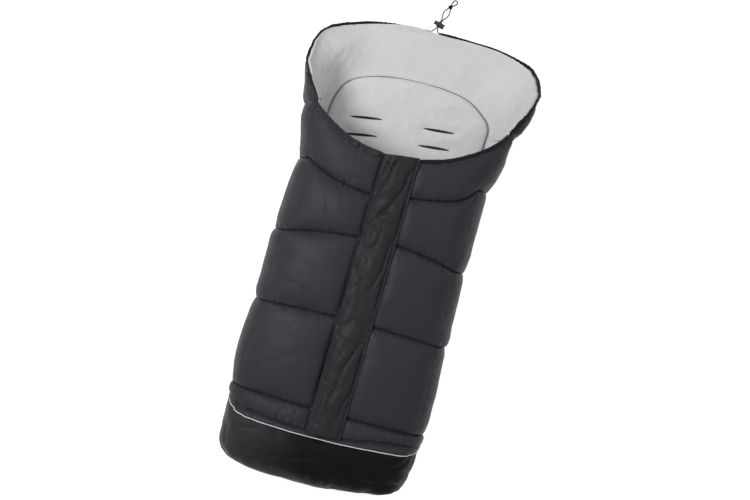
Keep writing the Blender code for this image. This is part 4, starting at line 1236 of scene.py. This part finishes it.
def placket_folds(x, y):
    """Slanting folds above, longer and steeper ones below, and some that cross the flap."""
    x, y = np.broadcast_arrays(x, y)
    total = np.zeros(x.shape)
    wander = 0.05 * ripple(vec(x, y, 0), 0.22, 74)
    above = ease((y + 0.22 + wander) / 0.12)
    for slope, share, seed in ((30, above, 75), (9, 1 - above, 81)):
        turn = radians(slope)
        along = y * cos(turn) + x * sin(turn)
        aside = x * cos(turn) - y * sin(turn) + 0.004 * ripple(vec(x, y, 0), 0.07, seed + 1)
        broad = folds(vec(aside, along, 0), (1 / 0.052, 1 / 0.15, 1), seed, 0.36) - 0.6
        fine = folds(vec(aside, along, 0), (1 / 0.030, 1 / 0.09, 1), seed + 2, 0.45) - 0.5
        total += share * ((0.0082 if slope > 20 else 0.0062) * broad + 0.0016 * fine)
    where = 0.5 + 0.5 * ripple(vec(0 * x, y, 0), 0.13, 78)
    cross = folds(vec(x, y + 0.25 * x, 0), (1 / 0.10, 1 / 0.052, 1), 76, 0.35) - 0.5
    return total + 0.0034 * cross * np.clip(where - 0.2, 0.0, 1.0)


def finish_placket(u, v, x, y, rim, cloth):
    points = cloth.points.copy()
    free = ease(u / 0.12) * ease((u[rim] - u) / 0.10) * ease(v / 0.01) * ease((1 - v) / 0.01)
    points += line_up * (placket_folds(x, y) * free)[..., None]
    sew = np.zeros(points.shape[:2])
    sew[:, rim] = 1.0
    sew[:, rim - 1] = sew[:, rim + 1] = 0.5
    small = ripple(vec(x, y, 0), 0.011, 79)
    points -= line_up * (0.0009 * sew)[..., None]
    points += line_up * (0.0005 * small * ease((u - u[rim] + 0.06) / 0.06))[..., None]
    points[:, 0] -= line_up * 0.0022
    points[:, :3, 0] -= np.array((0.0012, 0.0018, 0.0010))
    beside = 1 - np.abs(x) / zip_groove
    under = from_line(x, y, placket_clear + 0.004 * ease(beside / 0.5) + 0 * v)
    piece = slab("placket_quilt", points, under, flap_material)
    dress(piece, "placket", "shell_nylon", "placket")
    pressed = [piece]
    line = points[4:-2, rim] + line_up * 0.0003
    piece = stitches("placket_stitches", [(line, line_up)])
    dress(piece, "placket", "shell_nylon")
    pressed.append(piece)
    for piece in pressed:
        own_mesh(piece)


guard_half_width = 0.0165


def make_zip_guard():
    """The strip of nylon behind the zip."""
    x = np.linspace(-guard_half_width, guard_half_width, 9)
    y = np.linspace(-0.005, -zip_long + 0.003, 60)[:, None]
    sag = 0.0006 * np.cos(x / guard_half_width * pi / 2)
    outer = from_line(x, y, -0.0114 - sag + 0 * y)
    piece = slab("zip_guard", outer, outer - line_up * 0.0005, shell_material)
    dress(piece, "sack", "shell_nylon")


def lip_hem(side, label, outer):
    """The rolled edge of the opening along the front's lip."""
    edge = outer[-1]
    keep = (edge[:, 0] < placket_left + 0.012) if side < 0 else (edge[:, 0] > 0.018)
    count = 300
    turns = np.array((0.26, 0.22, 0.18, 0.14, 0.10, 0.07, 0.045, 0.02))
    turns = turns if side > 0 else pi - turns
    rim, under = (settle(hood(turns, np.full(8, v))) for v in (1.0, 0.95))
    line = spaced(np.concatenate([rim, edge[keep]]), count)
    below = spaced(np.concatenate([under, outer[-7][keep]]), count)
    inside = unit(line - below)
    out = np.cross(unit(np.gradient(line, axis=0)), inside)
    out *= np.sign(out[:, 2:3])
    near = (placket_left - line[:, 0]) if side < 0 else (line[:, 0] - placket_right)
    full = mix(0.42, 1.0, ease((near + 0.002) / 0.012))[:, None]
    begin = np.linspace(0, 1, count)[:, None]
    swell = mix(0.45, 0.8, ease(begin / 0.12)) + 0.2 * ease((begin - 0.1) / 0.3)
    wide = full * swell * (0.0070 if side < 0 else 0.0042)
    thick = full * (0.0042 if side < 0 else 0.0030)
    centre = line - inside * wide * 0.65 + out * thick * 0.35
    angles = round_angles(18)
    wander = centre + 0.012 * ripple(centre, 0.06, 85 + side)[:, None]
    fold = folds(wander, (1 / 0.042,) * 3, 81 + side, 0.30)[:, None] - 0.75
    fold = fold * (0.75 + 0.45 * ripple(centre, 0.05, 87 + side)[:, None])
    small = ripple(centre, 0.006, 83 + side)[:, None]
    ring_in = np.sin(angles) * wide * (1 + 0.30 * fold * (np.sin(angles) < 0) + 0.05 * small)
    ring_out = np.cos(angles) * thick * (1 + 1.15 * fold + 0.10 * small)
    grid = centre[:, None] + inside[:, None] * ring_in[..., None] + \
        out[:, None] * ring_out[..., None]
    # The right hem takes the darker trim nylon as painted shade; the left hem keeps the shell
    # nylon.
    piece = tube_mesh(f"lip_hem_{label}", grid, shell_material if side < 0 else trim_and_shade_material,
                      0.03)
    dress(piece, "sack", "shell_nylon")
    seam = centre - inside * wide * 0.5 + out * thick * 0.9
    piece = stitches(f"lip_stitches_{label}", [(seam, out.mean(axis=0))])
    dress(piece, "sack", "shell_nylon")


# Back

def back_outline(inset, steps=60):
    low = foot_seam_y + inset
    y = np.linspace(low, hood_start_y, steps, endpoint=False)
    right = np.stack([rails(y)[0][..., 0] - inset, y], -1)
    wide = rails(np.array(hood_start_y))[0][0] - inset
    deep = arch_top_y - hood_start_y - inset
    angle = np.linspace(0, pi, 2 * steps)
    reach = superellipse(angle, arch_corner)
    arc = np.stack([wide * np.cos(angle) * reach, hood_start_y + deep * np.sin(angle) * reach], -1)
    left = right[::-1] * np.array((-1, 1))
    return np.concatenate([right, arc, left])


def pad_shift(points):
    """The pad's cover has crept a little to the left under the shoulder slots."""
    out = points.copy()
    reach = ease((points[..., 1] - 0.12) / 0.08) * (1 - ease((points[..., 1] - 0.27) / 0.07))
    inner = 1 - ease((np.abs(points[..., 0]) - 0.11) / 0.05)
    out[..., 0] -= 0.0135 * reach * inner
    for x, y in slots[:4]:
        near = ease(1.6 - np.hypot((points[..., 0] - x) / 0.034, (points[..., 1] - y) / 0.015))
        out[..., 0] += (0.10 if x > 0 else 0.0) * (points[..., 0] - x) * near
        out[..., 1] += (0.0 if x > 0 else 0.085) * (points[..., 0] - x) * near
    return out


def lens(place, half_length, half_width, count=28):
    """Outline of a slit, pointed at its ends."""
    angle = round_angles(count)
    c, s = np.cos(angle), np.sin(angle)
    return np.stack([place[0] + half_length * np.sign(c) * np.abs(c) ** 0.9,
                     place[1] + half_width * np.sign(s) * np.abs(s) ** 1.15], -1)


cutter_reach = (-0.01, 0.05)


def prism(name, outlines):
    """Upright blocks over closed outlines, as one mesh that cuts others."""
    points, faces = [], []
    for line in outlines:
        count, start = len(line), len(points)
        points += [(x, y, z) for z in cutter_reach for x, y in line]
        faces.append(list(range(start, start + count))[::-1])
        faces.append(list(range(start + count, start + 2 * count)))
        for k in range(count):
            m = (k + 1) % count
            faces.append([start + k, start + m, start + count + m, start + count + k])
    return build(name, np.array(points), faces, plastic)


def carve(piece, cutter):
    """Cut the cutter's blocks out of the piece, and clear the cutter away."""
    cut = piece.modifiers.new("slots", "BOOLEAN")
    cut.operation = "DIFFERENCE"
    cut.solver = "EXACT"
    cut.object = cutter
    depsgraph = bpy.context.evaluated_depsgraph_get()
    mesh = bpy.data.meshes.new_from_object(piece.evaluated_get(depsgraph))
    piece.modifiers.remove(cut)
    old = piece.data
    piece.data = mesh
    bpy.data.meshes.remove(old)
    bpy.data.objects.remove(cutter)
    for polygon in piece.data.polygons:
        polygon.use_smooth = True
    piece.data.set_sharp_from_angle(angle=radians(50))


def move_vertices(piece, change):
    """Move all of a piece's vertices by a function of their places."""
    vertices = piece.data.vertices
    found = np.empty(len(vertices) * 3, np.float32)
    vertices.foreach_get("co", found)
    moved = change(found.reshape(-1, 3).astype(float))
    vertices.foreach_set("co", moved.reshape(-1).astype(np.float32))


def pad_height_at(points):
    """Height of the pad's cover: crowned, dimpled round its slots, with soft hollows."""
    x, y = points[..., 0], points[..., 1]
    high = pad_base + pad_height + 0.0030 * (1 - (np.abs(x) / 0.17) ** 2)
    high = high + 0.0011 * ripple(vec(x, y, 0), 0.07, 91) + 0.0005 * ripple(vec(x, y, 0), 0.02, 92)
    for sx, sy in slots:
        along = np.maximum(np.abs(x - sx) - slot_length / 2, 0)
        near = np.hypot(along, y - sy)
        high = high - 0.0034 * np.exp(-(near / 0.0085) ** 2)
    return high


def make_pad():
    """The fleece pad with its crown and slots."""
    grid = []
    insets = (0.004, 0.0, 0.0, 0.003, 0.008, 0.016, 0.026)
    heights = (0.0, 0.25, 0.50, 0.74, 0.90, 0.98, 1.0)
    for inset, share in zip(insets, heights):
        line = back_outline(inset)
        top = pad_height_at(vec(line[:, 0], line[:, 1], 0))
        grid.append(vec(line[:, 0], line[:, 1], pad_base + (top - pad_base) * share))
    flat = grid[-1]
    for shrink in np.linspace(0.975, 0.02, 54):
        ring = vec(flat[:, 0] * shrink, flat[:, 1] * shrink, 0)
        grid.append(vec(ring[:, 0], ring[:, 1], pad_height_at(ring)))
    points = np.array(grid)
    piece = build("back_pad_fleece", points, closed_faces(*points.shape[:2]), pad_material)
    outlines = [lens(place, slot_length / 2 + 0.002, slot_width / 2 + 0.0004) for place in slots]
    carve(piece, prism("pad_cutter", outlines))
    move_vertices(piece, lambda found: settle(pad_shift(found)))
    dress(piece, "sack", "fleece", "back_pad")


def make_backing():
    """The nylon under the pad, with the same slots."""
    line = back_outline(0.0)
    points = np.concatenate([vec(line[:, 0], line[:, 1], 0.0003),
                             vec(line[:, 0], line[:, 1], back_fabric)])
    count = len(line)
    faces = [list(range(count))[::-1], list(range(count, 2 * count))]
    faces += [[k, (k + 1) % count, count + (k + 1) % count, count + k] for k in range(count)]
    piece = build("back_nylon", points, faces, shell_material)
    outlines = [lens(place, slot_length / 2, slot_width / 2) for place in slots]
    carve(piece, prism("back_cutter", outlines))
    move_vertices(piece, settle)
    dress(piece, "sack", "shell_nylon", "back_shell")


def make_slot_bindings():
    """The nylon sleeve that lines each slot through the pad and the backing."""
    points, faces = [], []
    levels = np.linspace(0, 1, 9)
    for place in slots:
        x, y = lens(place, slot_length / 2 - 0.0006, slot_width / 2 - 0.0011, 40).T
        top = pad_height_at(vec(x, y, 0)) - 0.0016
        upper = settle(pad_shift(vec(x, y, top)))
        lower = settle(vec(x, y, 0.0012))
        aside = vec(0, np.sign(y - place[1]) * 0.0010, 0)
        index = ringed(len(points) + numbered(2 * len(levels), len(x)))
        for share in levels:
            ring = mix(lower, upper, share)
            points += [*(ring - aside), *(ring + aside)]
        for rows in (index[::2], index[1::2], index[:2], index[-2:]):
            faces += quads(rows).tolist()
    piece = build("slot_binding", np.array(points), faces, shell_material)
    dress(piece, "sack", "shell_nylon")


def make_pad_seam():
    """The grey seam round the pad's head end, its dark grey painted shade for the seam's shadow
    line.
    """
    arch = settle(pad_shift(vec(*back_outline(-0.0004).T, 0.0125)))
    keep = arch[:, 1] > 0.10
    piece = tube("pad_seam", spaced(arch[keep], 260), 0.0009, 8, seam_shade_thread)
    dress(piece, "sack", "fleece")


# Foot

band_rows = 7
piping_row = band_rows + 1
foot_columns = ((0, 1, 14), (1, 2, 40), (2, 4, 124), (4, 5, 40), (5, 6, 14))


def foot_cloth():
    w = [np.linspace(*span, endpoint=False) for span in foot_columns]
    w = np.concatenate([*w, [6.0]])
    x = section(foot_seam_y, w)[:, 0]
    beside = 2 - np.abs(w - 3)
    seam = foot_seam_y + side_lift(seam_places, seam_lifts, x, beside)
    piping = piping_y + side_lift(piping_places, piping_lifts, x, beside)
    first = np.linspace(0, 1, band_rows, endpoint=False)[:, None]
    second = np.linspace(0, 1, 14, endpoint=False)[:, None]
    t = np.concatenate([foot_straight_y - seam[None] - 0.005,
                        foot_straight_y - mix(seam, piping, first),
                        foot_straight_y - mix(piping, foot_straight_y, second),
                        np.linspace(0, pi / 2 - 0.02, 40)[:, None] * np.ones_like(w)])
    base = foot(t, w * np.ones_like(t))
    side_v = 3 - np.abs(w - 3) + 0 * t
    fill = np.where(w < 3, side_fill(base[..., 1], side_v, 1), side_fill(base[..., 1], side_v, -1))
    base = push(base, fill * (t < 0.4))
    inside = vec(0, np.maximum(base[..., 1], foot_straight_y), top_height(foot_seam_y) / 2)
    out = normals(base, inside)
    top = ease((1.35 - np.abs(w - 3)) / 0.5)
    height = 0.0050 * top * ease((foot_straight_y - seam - t) / -0.03) * (1 - ease(t / 1.2))
    height = height * np.ones_like(t) + 0.0006 * ripple(base, 0.03, 41)
    gone = arc_lengths(base, 0)
    down = np.maximum(gone - gone[1:2], 0)
    at_zip = np.exp(-(base[..., 0] / 0.013) ** 2)
    height -= mix(0.0048, 0.0070, at_zip) * np.exp(-down / mix(0.0027, 0.0062, at_zip))
    height[0] = -0.0056
    start = base + out * height[..., None]
    held = held_at(base, [0, 1, piping_row, -1])
    held[:, np.abs(w - 3) > 2.0] = True
    gather = 0.05 * np.exp(-gone / 0.02)
    slack_u = 0.012 + gather * (0.6 + 0.5 * ripple(base, 0.05, 43))
    slack_v = 0.030 + 0.022 * ripple(base * np.array((0.35, 1.0, 1.0)), 0.06, 44)
    cloth = Cloth("foot", base, start, held, (slack_u, slack_v), 150.0, 60.0, 0.004)
    return base, out, cloth


def finish_foot(base, out, cloth):
    gone = arc_lengths(base, 0)
    gone = np.maximum(gone - gone[1:2], 0)
    strong = 0.0030 + 0.0022 * ease((base[..., 0] - 0.08) / 0.06)
    shift = strong * seam_folds(base, gone, (0.018, 0.06, 0.03), 45, 0.009)
    shift += 0.0030 * (folds(base, (1 / 0.26, 1 / 0.04, 1 / 0.1), 46) - 0.5) * ease(gone / 0.02)
    shift -= 0.0014 * np.exp(-np.abs(gone - gone[piping_row]) / 0.003)
    top = ease((base[..., 2] - 0.03) / 0.05)
    points = cloth.points + out * (shift * top)[..., None]
    outer = settle(points)
    inner = settle(base - out * shell_wall)
    piece = slab("foot_cap_nylon", outer[piping_row:], inner[piping_row:], cap_material)
    dress(piece, "sack", "shell_nylon", "foot_cap")
    band = slice(0, piping_row + 1)
    piece = slab("foot_band_nylon", outer[band], inner[band], shell_material)
    dress(piece, "sack", "shell_nylon")
    core = vec(0, foot_straight_y, top_height(foot_seam_y) / 2)
    drawn = 0.04 * ease((core[1] - base[..., 1]) / 0.03)[..., None]
    high, deep = (settle(mix(base - out * wall, core, drawn))
                  for wall in (shell_wall, shell_wall + fleece_wall))
    piece = slab("foot_fleece", high, deep, fleece_material)
    dress(piece, "sack", "fleece", "foot_lining")
    row = outer[piping_row]
    up = normals(outer, sack_axis(outer))[piping_row]
    keep = slice(16, -16)
    line = row[keep] + up[keep] * 0.0006
    piece = tube("piping_reflective", spaced(line, 260), 0.00105, 10, reflector)
    dress(piece, "sack", "reflective_tape", "reflective_piping")
    line = outer[3][keep] + up[keep] * 0.0004
    line[:, 2] = np.maximum(line[:, 2], 0.0012)
    lines = [(line, np.array((0, 0, 1.0)))]
    piece = stitches("foot_stitches", lines)
    dress(piece, "sack", "shell_nylon")


make_camera()
make_stage()
make_cords()
for side, label, cord_exit in both_sides:
    casing(side, label, cord_exit[0])
fronts = [front_cloth(side, label) for side, label, _ in both_sides]
gussets = [gusset_cloth(side, label) for side, label, _ in both_sides]
collar = hood_cloth()
flap = placket_cloth()
cap = foot_cloth()
run_cloths()
edges = []
for front in fronts:
    outer = finish_front(*front)
    lip_hem(front[0], front[1], outer)
    edges.append(outer[:, 0])
for edge, gusset in zip(edges, gussets):
    finish_gusset(edge, *gusset)
finish_hood(*collar)
finish_placket(*flap)
finish_foot(*cap)
make_pad()
make_backing()
make_slot_bindings()
make_pad_seam()
make_zip_guard()

given = ((plastic, ("cord_lock_body", "cord_lock_plunger", "zip_teeth_left", "zip_teeth_right")),
         (metal, ("zip_slider", "zip_pull", "zip_top_stop_left", "zip_top_stop_right",
                  "zip_bottom_stop")),
         (shell_material, ("zip_tape_left", "zip_tape_right")),
         (hook_tape, ("flap_hook_patch_1", "flap_hook_patch_2", "flap_hook_patch_3")))
for material, nodes in given:
    for node in nodes:
        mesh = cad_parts[node].data
        mesh.materials.clear()
        mesh.materials.append(material)
